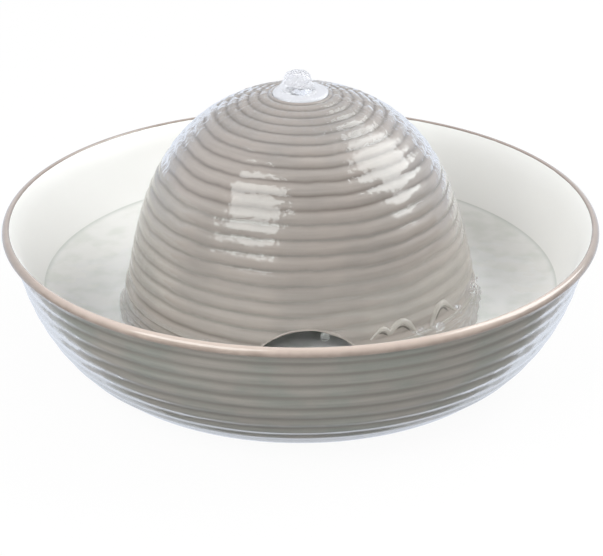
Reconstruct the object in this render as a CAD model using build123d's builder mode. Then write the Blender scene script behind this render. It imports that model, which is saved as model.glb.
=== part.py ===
"""Ceramic pet water fountain: a ribbed beehive dome standing in a ribbed bowl.

A small submersible pump on the bowl's floor pushes water up a riser hose to the
nozzle in the dome's crown. The water runs down the ribs and back into the bowl.

Millimetres. The origin is on the table at the middle of the base, +Z is up and
-Y is the front, where the dome has its arched intake notch.
"""
from build123d import *
import os

os.makedirs("parts", exist_ok=True)

# ---------------------------------------------------------------- driving sizes
# bowl
rim_radius = 150.0
bowl_top = 76.0
bowl_foot_radius = 100.0
bowl_floor_top = 10.0
bowl_floor_radius = 94.0
bowl_rib_count = 9
bowl_rib_depth = 0.6
lip_rib_share = 0.68
lip_rib_growth = 0.09
bowl_foot_share = 0.215
bowl_foot_sweep = 17.7
bowl_foot_rise = 5.2
bowl_side_lean = 5.0
bowl_side_drop = 40.0
bowl_inside_sweep = 24.0
bowl_inside_rise = 2.0
bowl_inside_lean = 11.0
bowl_inside_drop = 26.5
lip_height = 5.0
lip_overhang = 5.0
lip_width = 9.4
lip_inside_drop = 10.0
lip_inside_roll = 3.7
lip_crest_inset = 2.6
lip_widest_drop = 2.8
underside_recess_radius = 78.0
underside_recess_depth = 2.0

# anti-slip pads under the bowl
pad_radius = 6.0
pad_thickness = 2.5
pad_exposed = 1.5
pad_circle_radius = 89.0
pad_count = 4
first_pad_angle = 45.0
pad_edge_round = 0.5

# dome
dome_foot_radius = 92.5
dome_crown_top = 142.6
dome_crown_radius = 14.0
dome_wall = 6.5
dome_side_lean = 8.0
dome_side_rise = 61.3
dome_shoulder_inset = 12.4
dome_shoulder_drop = 14.5
dome_rib_count = 25
dome_rib_depth = 0.8
crown_first_rib = 0.28
crown_rib_share = 0.7
crown_rib_growth = 0.04
notch_half_width = 31.0
notch_height = 44.0
cable_notch_half_width = 8.0
cable_notch_height = 18.0

# outlet nozzle and its grommet
nozzle_disc_radius = 13.7
nozzle_disc_thickness = 3.0
nozzle_stand_up = 0.6
nozzle_orifice_radius = 5.5
nozzle_stem_wall = 1.2
nozzle_stem_length = 20.0
nozzle_throat_height = 4.0
nozzle_edge_round = 1.0
grommet_wall = 1.75
grommet_flange_radius = 12.4
grommet_flange_thickness = 1.0
grommet_bead_radius = 11.4
grommet_bead_thickness = 1.8

# riser hose
hose_bore_radius = 4.6
hose_wall = 2.0
hose_in_nozzle = 11.0

# pump: motor housing
pump_width = 44.0
pump_height = 30.0
motor_length = 28.0
housing_wall = 2.0
housing_base_wall = 3.0
housing_corner = 4.0
housing_front_wall = 2.5
rear_cover_thickness = 2.0

# pump: rotor, shaft and bearings
volute_radius = 10.0
volute_wall = 1.4
volute_depth = 11.0
volute_front_wall = 1.5
rotor_can_radius = 6.8
rotor_can_wall = 1.0
rotor_can_depth = 21.0
magnet_radius = 6.0
magnet_length = 17.0
magnet_front_gap = 1.5
sleeve_radius = 2.2
shaft_radius = 1.15
rear_bush_radius = 3.4
rear_bush_length = 2.0
front_bush_radius = 2.6
front_bush_length = 3.4
bush_blind_end = 0.8
impeller_radius = 8.6
impeller_blade_count = 6
impeller_blade_thickness = 1.0
impeller_blade_length = 6.8
impeller_hub_radius = 3.2
impeller_front_gap = 1.2

# pump: impeller cover, its seal and its outlet spigot
cover_flange_radius = 12.2
cover_flange_thickness = 2.0
cover_collar_wall = 0.8
intake_eye_radius = 6.8
spider_hub_wall = 1.0
spider_spoke_width = 1.4
spider_spoke_count = 3
seal_section_radius = 0.6
spigot_bore_radius = 3.5
spigot_radius = 4.5
spigot_length = 12.0
spigot_collar_radius = 6.2
spigot_collar_height = 3.0

# pump: stator
core_leg_thickness = 4.0
core_yoke_thickness = 5.0
core_stack = 15.0
core_reach = 7.0
bobbin_wall = 0.8
winding_thickness = 2.4

# pump: strainer, sponge and flow dial
strainer_depth = 32.0
strainer_wall = 1.6
strainer_slot_width = 1.6
strainer_slot_pitch = 3.2
strainer_slot_count = 3
strainer_slot_height = 20.0
strainer_slot_side_gap = 2.4
window_inner_radius = 4.6
window_outer_radius = 8.6
window_width = 8.0
dial_radius = 9.8
dial_thickness = 1.8
dial_grip_width = 2.4
dial_grip_height = 2.2
dial_pin_radius = 2.0
dial_pin_head_radius = 2.9
dial_pin_head_thickness = 0.9
sponge_thickness = 10.5

# pump: suction cups and cable gland
cup_radius = 5.5
cup_height = 4.0
cup_stud_radius = 1.8
cup_stud_length = 1.6
cup_hollow_depth = 1.4
cup_edge = 0.8
cup_inset = 7.0
cup_taper = 25.0
gland_radius = 4.2
gland_flange_radius = 6.0
gland_flange_thickness = 1.5
gland_nose_length = 6.0
gland_nose_radius = 3.6
cable_bore_radius = 2.0
cable_bore_depth = 8.0

# clearances
running_fit = 0.06
push_fit = 0.1
slide_fit = 0.25
seat_gap = 0.3
potting_gap = 0.15

# control point distance that makes a cubic curve follow a quarter circle
arc_pull = 0.5523

# ---------------------------------------------------------------- derived places
hose_radius = hose_bore_radius + hose_wall
stem_bore_radius = hose_radius + seat_gap
stem_radius = stem_bore_radius + nozzle_stem_wall
grommet_bore_radius = stem_radius + slide_fit
grommet_radius = grommet_bore_radius + grommet_wall
dome_hole_radius = grommet_radius + push_fit
crown_inner = dome_crown_top - dome_wall
nozzle_top = dome_crown_top + nozzle_stand_up
nozzle_seat = nozzle_top - nozzle_disc_thickness
crown_seat = nozzle_seat - grommet_flange_thickness
stem_bottom = nozzle_seat - nozzle_stem_length

pump_bottom = bowl_floor_top + cup_height
pump_top = pump_bottom + pump_height
shaft_x = spigot_bore_radius - volute_radius
shaft_z = pump_bottom + pump_height / 2
motor_front = volute_depth / 2
motor_back = motor_front + motor_length
volute_front = motor_front - volute_depth
can_end = motor_front + rotor_can_depth
magnet_front = motor_front + magnet_front_gap
magnet_back = magnet_front + magnet_length
impeller_front = volute_front + impeller_front_gap
spider_front = volute_front - front_bush_length
cavity_front = motor_front + housing_front_wall
strainer_front = cavity_front - strainer_depth
dial_back = strainer_front - slide_fit
dial_front = dial_back - dial_thickness
spigot_collar_bottom = pump_top + seat_gap
hose_bottom = spigot_collar_bottom + spigot_collar_height
hose_top = stem_bottom + hose_in_nozzle


def at_depth(y, x=0.0, z=0.0):
    """Sketch plane across the pump at depth y. Its x is +X, its y is +Z, it faces the front."""
    return Plane(origin=(x, y, z), x_dir=(1, 0, 0), z_dir=(0, -1, 0))


def on_shaft(y):
    """Sketch plane across the pump's shaft at depth y."""
    return at_depth(y, shaft_x, shaft_z)


def inset(curve, along, depth):
    """Point at a share of an upward curve's length, moved into the wall by depth."""
    tangent = curve % along
    return curve @ along + Vector(-tangent.Y, tangent.X) * depth


def widening(count, share, growth):
    """Relative widths of ribs counted from the top, where they are narrower."""
    return [min(1.0, share + growth * place) for place in range(count)]


def rib_ends(shares, start=0.0):
    """Where each rib ends along an upward curve, as shares of its length, from start to 1."""
    ends = [start]
    for share in reversed(shares):
        ends.append(ends[-1] + (1 - start) * share / sum(shares))
    return ends


def rib_arcs(curve, ends, depth, first):
    """One rounded rib between each pair of ends. Crests lie on the curve, valleys inside it."""
    valley = first
    for begin, end in zip(ends, ends[1:]):
        next_valley = inset(curve, end, depth)
        ThreePointArc(valley, curve @ ((begin + end) / 2), next_valley)
        valley = next_valley
    return valley


def save(piece, name):
    """Label a finished sub-part and write its STEP file."""
    piece.part.label = name
    export_step(piece.part, f"parts/{name}.step")


# ---------------------------------------------------------------- bowl
lip_bottom = bowl_top - lip_height
side_top_radius = rim_radius - lip_overhang
bowl_side = Bezier(
    (bowl_foot_radius, pad_exposed),
    (bowl_foot_radius + bowl_foot_sweep, pad_exposed + bowl_foot_rise),
    (side_top_radius - bowl_side_lean, lip_bottom - bowl_side_drop),
    (side_top_radius, lip_bottom),
)
bowl_foot_valley = inset(bowl_side, bowl_foot_share, bowl_rib_depth)
bowl_rib_ends = rib_ends(widening(bowl_rib_count, lip_rib_share, lip_rib_growth), bowl_foot_share)
recess_top = pad_exposed + underside_recess_depth

with BuildPart() as bowl:
    with BuildSketch(Plane.XZ):
        with BuildLine():
            floor_edge = (bowl_floor_radius, bowl_floor_top)
            lip_inside = (rim_radius - lip_width, bowl_top - lip_inside_drop)
            lip_crest = (rim_radius - lip_crest_inset, bowl_top)
            lip_widest = (rim_radius, bowl_top - lip_widest_drop)
            lip_outside = (rim_radius - lip_overhang / 2, lip_bottom)
            Line((0, bowl_floor_top), floor_edge)
            Bezier(
                floor_edge,
                (bowl_floor_radius + bowl_inside_sweep, bowl_floor_top + bowl_inside_rise),
                (lip_inside[0] - bowl_inside_lean, lip_inside[1] - bowl_inside_drop),
                lip_inside,
            )
            # lip: inner slope, which carries on the inside's lean, crest, widest point and underside
            roll_share = lip_inside_roll / bowl_inside_drop
            Bezier(
                lip_inside,
                (lip_inside[0] + bowl_inside_lean * roll_share, lip_inside[1] + lip_inside_roll),
                (lip_crest[0] - lip_crest_inset * arc_pull, bowl_top),
                lip_crest,
            )
            Bezier(
                lip_crest,
                (lip_crest[0] + lip_crest_inset * arc_pull, bowl_top),
                (rim_radius, lip_widest[1] + lip_widest_drop * arc_pull),
                lip_widest,
            )
            Bezier(
                lip_widest,
                (rim_radius, lip_widest[1] - (lip_height - lip_widest_drop) * arc_pull),
                (lip_outside[0] + lip_overhang / 2 * arc_pull, lip_bottom),
                lip_outside,
            )
            ribs_top = inset(bowl_side, 1, bowl_rib_depth)
            Line(lip_outside, ribs_top)
            ThreePointArc(bowl_side @ 0, bowl_side @ (bowl_foot_share / 2), bowl_foot_valley)
            rib_arcs(bowl_side, bowl_rib_ends, bowl_rib_depth, bowl_foot_valley)
            Polyline(
                bowl_side @ 0,
                (underside_recess_radius, pad_exposed),
                (underside_recess_radius - underside_recess_depth, recess_top),
                (0, recess_top),
                (0, bowl_floor_top),
            )
        make_face()
    revolve(axis=Axis.Z)
    with BuildSketch(Plane.XY.offset(pad_exposed)):
        with PolarLocations(pad_circle_radius, pad_count, start_angle=first_pad_angle):
            Circle(pad_radius + push_fit)
    extrude(amount=pad_thickness - pad_exposed, mode=Mode.SUBTRACT)
save(bowl, "bowl")

with BuildPart() as foot_pads:
    with BuildSketch(Plane.XY):
        with PolarLocations(pad_circle_radius, pad_count, start_angle=first_pad_angle):
            Circle(pad_radius)
    extrude(amount=pad_thickness)
    fillet(foot_pads.edges().group_by(Axis.Z)[0], pad_edge_round)
save(foot_pads, "foot_pads")

# ---------------------------------------------------------------- dome
def dome_curve(wall):
    """The dome's side from foot to crown, moved inward by a wall thickness."""
    return Bezier(
        (dome_foot_radius - wall, bowl_floor_top),
        (dome_foot_radius - dome_side_lean - wall, bowl_floor_top + dome_side_rise),
        (dome_foot_radius - dome_shoulder_inset - wall, dome_crown_top - dome_shoulder_drop - wall),
        (dome_crown_radius, dome_crown_top - wall),
    )


def arch(half_width, height):
    """Round-topped opening that reaches a height above the sketch's origin, and runs on below it."""
    spring_line = height - half_width
    with Locations((0, spring_line)):
        Circle(half_width)
    Rectangle(2 * half_width, 2 * spring_line)


dome_side = dome_curve(0)
dome_rib_shares = [crown_first_rib] + widening(dome_rib_count - 1, crown_rib_share, crown_rib_growth)

with BuildPart() as dome:
    with BuildSketch(Plane.XZ):
        with BuildLine():
            dome_foot = (dome_foot_radius - dome_rib_depth, bowl_floor_top)
            crown_edge = rib_arcs(dome_side, rib_ends(dome_rib_shares), dome_rib_depth, dome_foot)
            Line(crown_edge, (0, crown_edge.Y))
            Line((0, crown_edge.Y), (0, crown_inner))
            Line((0, crown_inner), (dome_crown_radius, crown_inner))
            dome_curve(dome_wall)
            Line((dome_foot_radius - dome_wall, bowl_floor_top), dome_foot)
        make_face()
    revolve(axis=Axis.Z)
    # seat and hole for the nozzle's grommet
    with BuildSketch(Plane.XY.offset(crown_seat)):
        Circle(nozzle_disc_radius + seat_gap)
    extrude(amount=dome_wall, mode=Mode.SUBTRACT)
    with BuildSketch(Plane.XY.offset(crown_inner)):
        Circle(dome_hole_radius)
    extrude(amount=dome_wall, both=True, mode=Mode.SUBTRACT)
    # small notch at the back, where the pump's cable leaves
    with BuildSketch(at_depth(0, z=bowl_floor_top)):
        arch(cable_notch_half_width, cable_notch_height)
    extrude(amount=-2 * dome_foot_radius, mode=Mode.SUBTRACT)
    # arched intake notch at the front
    with BuildSketch(at_depth(0, z=bowl_floor_top)):
        arch(notch_half_width, notch_height)
    extrude(amount=2 * dome_foot_radius, mode=Mode.SUBTRACT)
save(dome, "dome")

with BuildPart() as nozzle_grommet:
    with BuildSketch(Plane.XY.offset(crown_seat)):
        Circle(grommet_flange_radius)
    extrude(amount=grommet_flange_thickness)
    with BuildSketch(Plane.XY.offset(crown_seat)):
        Circle(grommet_radius)
    extrude(amount=crown_inner - seat_gap - crown_seat)
    with BuildSketch(Plane.XY.offset(crown_inner - seat_gap)):
        Circle(grommet_bead_radius)
    extrude(amount=-grommet_bead_thickness)
    with BuildSketch(Plane.XY.offset(nozzle_seat)):
        Circle(grommet_bore_radius)
    extrude(amount=-nozzle_stem_length, mode=Mode.SUBTRACT)
save(nozzle_grommet, "nozzle_grommet")

throat_bottom = nozzle_seat - nozzle_throat_height

with BuildPart() as outlet_nozzle:
    with BuildSketch(Plane.XZ):
        with BuildLine():
            Polyline(
                (nozzle_orifice_radius, nozzle_top),
                (nozzle_disc_radius, nozzle_top),
                (nozzle_disc_radius, nozzle_seat),
                (stem_radius, nozzle_seat),
                (stem_radius, stem_bottom),
                (stem_bore_radius, stem_bottom),
                (stem_bore_radius, throat_bottom),
                (nozzle_orifice_radius, nozzle_seat),
                close=True,
            )
        make_face()
    revolve(axis=Axis.Z)
    fillet(outlet_nozzle.edges().group_by(Axis.Z)[-1], nozzle_edge_round)
save(outlet_nozzle, "outlet_nozzle")

with BuildPart() as riser_hose:
    with BuildSketch(Plane.XY.offset(hose_bottom)):
        Circle(hose_radius)
        Circle(hose_bore_radius, mode=Mode.SUBTRACT)
    extrude(amount=hose_top - hose_bottom)
save(riser_hose, "riser_hose")

# ---------------------------------------------------------------- motor housing
cavity_width = pump_width - 2 * housing_wall
cavity_bottom = pump_bottom + housing_base_wall
cavity_top = pump_top - housing_wall
cavity_height = cavity_top - cavity_bottom
cavity_middle = (cavity_top + cavity_bottom) / 2
can_radius = rotor_can_radius + rotor_can_wall
step_inset = strainer_wall + slide_fit
seal_radius = (volute_radius + cover_flange_radius) / 2
collar_radius = cover_flange_radius + push_fit
cup_places = [
    (side * (pump_width / 2 - cup_inset), motor_front + along)
    for side in (-1, 1)
    for along in (cup_inset, motor_length - cup_inset)
]

with BuildPart() as motor_housing:
    with BuildSketch(at_depth(cavity_front, z=shaft_z)):
        RectangleRounded(pump_width, pump_height, housing_corner)
    extrude(amount=cavity_front - motor_back)
    # narrower front step that the strainer slips over
    with BuildSketch(at_depth(motor_front, z=shaft_z)):
        RectangleRounded(
            pump_width - 2 * step_inset, pump_height - 2 * step_inset, housing_corner - step_inset
        )
    extrude(amount=-housing_front_wall)
    # potted cavity, open at the back
    with BuildSketch(at_depth(cavity_front, z=cavity_middle)):
        RectangleRounded(cavity_width, cavity_height, housing_corner - housing_wall)
    extrude(amount=-motor_length, mode=Mode.SUBTRACT)
    # blind can that the rotor turns in
    with BuildSketch(on_shaft(motor_front)):
        Circle(can_radius)
    extrude(amount=-(rotor_can_depth + rotor_can_wall))
    with BuildSketch(on_shaft(motor_front)):
        Circle(rotor_can_radius)
    extrude(amount=-rotor_can_depth, mode=Mode.SUBTRACT)
    # collar that holds the impeller cover
    with BuildSketch(on_shaft(motor_front)):
        Circle(collar_radius + cover_collar_wall)
        Circle(collar_radius, mode=Mode.SUBTRACT)
    extrude(amount=cover_flange_thickness)
    # gap in the collar where the cover's spigot stands
    with BuildSketch(Plane.XY.offset(shaft_z)):
        Circle(spigot_radius + slide_fit)
    extrude(amount=pump_height, mode=Mode.SUBTRACT)
    # groove for the chamber seal
    with BuildSketch(on_shaft(motor_front)):
        Circle(seal_radius + seal_section_radius)
        Circle(seal_radius - seal_section_radius, mode=Mode.SUBTRACT)
    extrude(amount=-2 * seal_section_radius, mode=Mode.SUBTRACT)
    # blind holes for the suction cups
    with BuildSketch(Plane.XY.offset(pump_bottom)):
        with Locations(*cup_places):
            Circle(cup_stud_radius + push_fit)
    extrude(amount=cup_stud_length + push_fit, mode=Mode.SUBTRACT)
save(motor_housing, "motor_housing")

with BuildPart() as rear_cover:
    with BuildSketch(at_depth(motor_back, z=shaft_z)):
        RectangleRounded(pump_width, pump_height, housing_corner)
    extrude(amount=-rear_cover_thickness)
    fillet(rear_cover.edges().group_by(Axis.Y)[-1], rear_cover_thickness / 2)
    with BuildSketch(at_depth(motor_back, z=shaft_z)):
        Circle(gland_radius + push_fit)
    extrude(amount=-rear_cover_thickness, mode=Mode.SUBTRACT)
save(rear_cover, "rear_cover")

with BuildPart() as cable_gland:
    gland_outer = motor_back + rear_cover_thickness
    with BuildSketch(at_depth(motor_back, z=shaft_z)):
        Circle(gland_radius)
    extrude(amount=-rear_cover_thickness)
    with BuildSketch(at_depth(gland_outer, z=shaft_z)):
        Circle(gland_flange_radius)
    extrude(amount=-gland_flange_thickness)
    with BuildSketch(at_depth(gland_outer + gland_flange_thickness, z=shaft_z)):
        Circle(gland_nose_radius)
    extrude(amount=-gland_nose_length)
    gland_end = gland_outer + gland_flange_thickness + gland_nose_length
    with BuildSketch(at_depth(gland_end, z=shaft_z)):
        Circle(cable_bore_radius)
    extrude(amount=cable_bore_depth, mode=Mode.SUBTRACT)
save(cable_gland, "cable_gland")

# ---------------------------------------------------------------- stator
coil_build = push_fit + bobbin_wall + winding_thickness
core_front = cavity_front + coil_build + seat_gap
core_right = pump_width / 2 - housing_wall - coil_build - seat_gap
yoke_left = core_right - core_yoke_thickness
core_inner_height = 2 * (can_radius + potting_gap)
core_outer_height = core_inner_height + 2 * core_leg_thickness
core_left = shaft_x - core_reach
window_height = core_inner_height - 2 * potting_gap

with BuildPart() as stator_core:
    with BuildSketch(at_depth(core_front, z=shaft_z)):
        with Locations((core_right, 0)):
            Rectangle(core_right - core_left, core_outer_height, align=(Align.MAX, Align.CENTER))
        with Locations((yoke_left, 0)):
            Rectangle(
                2 * (yoke_left - core_left),
                core_inner_height,
                align=(Align.MAX, Align.CENTER),
                mode=Mode.SUBTRACT,
            )
    extrude(amount=-core_stack)
save(stator_core, "stator_core")


coil_middle = ((yoke_left + core_right) / 2, core_front + core_stack / 2)


def yoke_outline(grow, mode=Mode.ADD):
    """Section of the stator's yoke seen from above, grown by a margin on every side."""
    with Locations(coil_middle):
        Rectangle(core_yoke_thickness + 2 * grow, core_stack + 2 * grow, mode=mode)


with BuildPart() as coil_bobbin:
    with BuildSketch(Plane.XY.offset(shaft_z)):
        yoke_outline(push_fit + bobbin_wall)
        yoke_outline(push_fit, Mode.SUBTRACT)
    extrude(amount=window_height / 2, both=True)
    for side in (-1, 1):
        with BuildSketch(Plane.XY.offset(shaft_z + side * window_height / 2)):
            yoke_outline(coil_build)
            yoke_outline(push_fit, Mode.SUBTRACT)
        extrude(amount=-side * bobbin_wall)
save(coil_bobbin, "coil_bobbin")

with BuildPart() as stator_winding:
    with BuildSketch(Plane.XY.offset(shaft_z)):
        yoke_outline(coil_build - potting_gap)
        yoke_outline(push_fit + bobbin_wall, Mode.SUBTRACT)
    extrude(amount=window_height / 2 - bobbin_wall, both=True)
save(stator_winding, "stator_winding")

with BuildPart() as potting_resin:
    # the resin fills the cavity round the can, the core and the coil
    with BuildSketch(at_depth(cavity_front + potting_gap, z=cavity_middle)):
        RectangleRounded(
            cavity_width - 2 * potting_gap, cavity_height - 2 * potting_gap, housing_corner - housing_wall
        )
    extrude(amount=cavity_front + 2 * potting_gap - motor_back)
    with BuildSketch(on_shaft(cavity_front)):
        Circle(can_radius + potting_gap)
    extrude(amount=cavity_front - can_end - rotor_can_wall - potting_gap, mode=Mode.SUBTRACT)
    with BuildSketch(at_depth(core_front - potting_gap, z=shaft_z)):
        with Locations((core_right + potting_gap, 0)):
            Rectangle(
                core_right - core_left + 2 * potting_gap,
                core_outer_height,
                align=(Align.MAX, Align.CENTER),
            )
    extrude(amount=-core_stack - 2 * potting_gap, mode=Mode.SUBTRACT)
    with BuildSketch(Plane.XY.offset(shaft_z)):
        yoke_outline(coil_build + potting_gap)
    extrude(amount=core_inner_height / 2, both=True, mode=Mode.SUBTRACT)
save(potting_resin, "potting_resin")

# ---------------------------------------------------------------- rotor and bearings
with BuildPart() as rear_bush:
    with BuildSketch(on_shaft(can_end)):
        Circle(rear_bush_radius)
    extrude(amount=rear_bush_length)
    with BuildSketch(on_shaft(can_end - bush_blind_end)):
        Circle(shaft_radius + running_fit)
    extrude(amount=rear_bush_length, mode=Mode.SUBTRACT)
save(rear_bush, "rear_bush")

with BuildPart() as front_bush:
    with BuildSketch(on_shaft(volute_front)):
        Circle(front_bush_radius)
    extrude(amount=front_bush_length)
    with BuildSketch(on_shaft(volute_front)):
        Circle(shaft_radius + running_fit)
    extrude(amount=front_bush_length - bush_blind_end, mode=Mode.SUBTRACT)
save(front_bush, "front_bush")

shaft_front = spider_front + bush_blind_end + push_fit
shaft_back = can_end - bush_blind_end - push_fit
with BuildPart() as rotor_shaft:
    with BuildSketch(on_shaft(shaft_front)):
        Circle(shaft_radius)
    extrude(amount=shaft_front - shaft_back)
save(rotor_shaft, "rotor_shaft")

with BuildPart() as impeller:
    blades_back = impeller_front + impeller_blade_length
    with BuildSketch(on_shaft(impeller_front)):
        Circle(impeller_hub_radius)
    extrude(amount=impeller_front - magnet_front)
    with BuildSketch(on_shaft(impeller_front)):
        with PolarLocations(impeller_radius / 2, impeller_blade_count):
            Rectangle(impeller_radius, impeller_blade_thickness)
    extrude(amount=impeller_front - blades_back)
    # sleeve that carries the magnet
    with BuildSketch(on_shaft(magnet_front)):
        Circle(sleeve_radius)
    extrude(amount=-magnet_length)
    with BuildSketch(on_shaft(impeller_front)):
        Circle(shaft_radius + running_fit)
    extrude(amount=impeller_front - magnet_back, mode=Mode.SUBTRACT)
save(impeller, "impeller")

with BuildPart() as rotor_magnet:
    with BuildSketch(on_shaft(magnet_front)):
        Circle(magnet_radius)
        Circle(sleeve_radius + running_fit, mode=Mode.SUBTRACT)
    extrude(amount=-magnet_length)
save(rotor_magnet, "rotor_magnet")

# ---------------------------------------------------------------- impeller cover
with BuildPart() as chamber_seal:
    with BuildSketch(Plane(origin=(shaft_x, motor_front + seal_section_radius, shaft_z))):
        with Locations((seal_radius, 0)):
            Circle(seal_section_radius - running_fit / 2)
    revolve(axis=Axis((shaft_x, motor_front, shaft_z), (0, 1, 0)))
save(chamber_seal, "chamber_seal")

with BuildPart() as impeller_cover:
    with BuildSketch(on_shaft(motor_front)):
        Circle(volute_radius + volute_wall)
    extrude(amount=volute_depth + volute_front_wall)
    with BuildSketch(on_shaft(motor_front)):
        Circle(cover_flange_radius)
    extrude(amount=cover_flange_thickness)
    # outlet spigot, tangent to the chamber's wall
    with BuildSketch(Plane.XY.offset(shaft_z)):
        Circle(spigot_radius)
    extrude(amount=hose_bottom + spigot_length - shaft_z)
    with BuildSketch(Plane.XY.offset(spigot_collar_bottom)):
        Circle(spigot_collar_radius)
    extrude(amount=spigot_collar_height)
    # chamber, outlet bore and intake eye
    with BuildSketch(on_shaft(motor_front)):
        Circle(volute_radius)
    extrude(amount=volute_depth, mode=Mode.SUBTRACT)
    with BuildSketch(Plane.XY.offset(shaft_z)):
        Circle(spigot_bore_radius)
    extrude(amount=hose_bottom + spigot_length - shaft_z, mode=Mode.SUBTRACT)
    with BuildSketch(on_shaft(volute_front)):
        Circle(intake_eye_radius)
    extrude(amount=volute_front_wall, mode=Mode.SUBTRACT)
    # spider that carries the front bush
    spider_hub_radius = front_bush_radius + spider_hub_wall
    with BuildSketch(on_shaft(volute_front)):
        with PolarLocations(intake_eye_radius / 2, spider_spoke_count, start_angle=90):
            Rectangle(intake_eye_radius + spider_hub_wall, spider_spoke_width)
        Circle(spider_hub_radius)
    extrude(amount=volute_front_wall)
    with BuildSketch(on_shaft(volute_front)):
        Circle(spider_hub_radius)
    extrude(amount=front_bush_length)
    with BuildSketch(on_shaft(volute_front)):
        Circle(front_bush_radius + running_fit)
    extrude(amount=front_bush_length, mode=Mode.SUBTRACT)
save(impeller_cover, "impeller_cover")

# ---------------------------------------------------------------- strainer
inside_width = pump_width - 2 * strainer_wall
inside_height = pump_height - 2 * strainer_wall


def flow_windows():
    """Openings above and below the dial's pin, shared by the strainer and the dial."""
    Circle(window_outer_radius)
    Circle(window_inner_radius, mode=Mode.SUBTRACT)
    Rectangle(window_width, 2 * window_outer_radius, mode=Mode.INTERSECT)


with BuildPart() as strainer_cover:
    with BuildSketch(at_depth(cavity_front, z=shaft_z)):
        RectangleRounded(pump_width, pump_height, housing_corner)
    extrude(amount=strainer_depth)
    fillet(strainer_cover.edges().group_by(Axis.Y)[0], strainer_wall)
    with BuildSketch(at_depth(cavity_front, z=shaft_z)):
        RectangleRounded(inside_width, inside_height, housing_corner - strainer_wall)
    extrude(amount=strainer_depth - strainer_wall, mode=Mode.SUBTRACT)
    # open slot in the top wall, so that the strainer passes the spigot
    with BuildSketch(Plane.XY.offset(shaft_z)):
        Circle(spigot_radius + 2 * slide_fit)
        Rectangle(
            2 * spigot_radius + 4 * slide_fit, strainer_depth, align=(Align.CENTER, Align.MIN)
        )
    extrude(amount=pump_height, mode=Mode.SUBTRACT)
    # intake slots beside the dial and windows behind it
    slot_start = dial_radius + strainer_slot_side_gap
    with BuildSketch(at_depth(strainer_front, z=shaft_z)):
        for side in (-1, 1):
            for place in range(strainer_slot_count):
                with Locations((side * (slot_start + place * strainer_slot_pitch), 0)):
                    SlotOverall(strainer_slot_height, strainer_slot_width, rotation=90)
    extrude(amount=-strainer_wall, mode=Mode.SUBTRACT)
    with BuildSketch(at_depth(strainer_front, z=shaft_z)):
        flow_windows()
    extrude(amount=-strainer_wall, mode=Mode.SUBTRACT)
    # headed pin that the flow dial turns on
    pin_length = dial_thickness + 2 * slide_fit
    with BuildSketch(at_depth(strainer_front, z=shaft_z)):
        Circle(dial_pin_radius)
    extrude(amount=pin_length + dial_pin_head_thickness)
    with BuildSketch(at_depth(strainer_front - pin_length, z=shaft_z)):
        Circle(dial_pin_head_radius)
    extrude(amount=dial_pin_head_thickness)
save(strainer_cover, "strainer_cover")

with BuildPart() as flow_dial:
    with BuildSketch(at_depth(dial_back, z=shaft_z)):
        Circle(dial_radius)
    extrude(amount=dial_thickness)
    with BuildSketch(at_depth(dial_back, z=shaft_z)):
        flow_windows()
    extrude(amount=dial_thickness, mode=Mode.SUBTRACT)
    with BuildSketch(at_depth(dial_front, z=shaft_z)):
        Circle(dial_radius)
        Rectangle(2 * dial_radius, dial_grip_width, mode=Mode.INTERSECT)
    extrude(amount=dial_grip_height)
    with BuildSketch(at_depth(dial_front, z=shaft_z)):
        Circle(dial_pin_head_radius + slide_fit)
    extrude(amount=dial_grip_height, mode=Mode.SUBTRACT)
    with BuildSketch(at_depth(dial_back, z=shaft_z)):
        Circle(dial_pin_radius + running_fit)
    extrude(amount=dial_thickness, mode=Mode.SUBTRACT)
save(flow_dial, "flow_dial")

with BuildPart() as filter_sponge:
    sponge_back = strainer_front + strainer_wall + seat_gap
    with BuildSketch(at_depth(sponge_back, z=shaft_z)):
        RectangleRounded(
            inside_width - 2 * seat_gap, inside_height - 2 * seat_gap, housing_corner - strainer_wall
        )
    extrude(amount=-sponge_thickness)
save(filter_sponge, "filter_sponge")

# ---------------------------------------------------------------- suction cups
with BuildPart() as suction_cups:
    with BuildSketch(Plane.XY.offset(bowl_floor_top)):
        with Locations(*cup_places):
            Circle(cup_radius)
    extrude(amount=cup_height, taper=cup_taper)
    with BuildSketch(Plane.XY.offset(pump_bottom)):
        with Locations(*cup_places):
            Circle(cup_stud_radius)
    extrude(amount=cup_stud_length)
    with BuildSketch(Plane.XY.offset(bowl_floor_top)):
        with Locations(*cup_places):
            Circle(cup_radius - cup_edge)
    extrude(amount=cup_hollow_depth, taper=2 * cup_taper, mode=Mode.SUBTRACT)
save(suction_cups, "suction_cups")
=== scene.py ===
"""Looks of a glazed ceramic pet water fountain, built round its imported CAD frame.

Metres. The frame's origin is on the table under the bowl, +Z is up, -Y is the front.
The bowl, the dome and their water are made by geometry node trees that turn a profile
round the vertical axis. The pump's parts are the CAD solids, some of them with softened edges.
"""
from collections import namedtuple
from math import cos, hypot, pi, radians, sin, sqrt

import bmesh
import bpy
from mathutils import Matrix, Vector, noise


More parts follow.
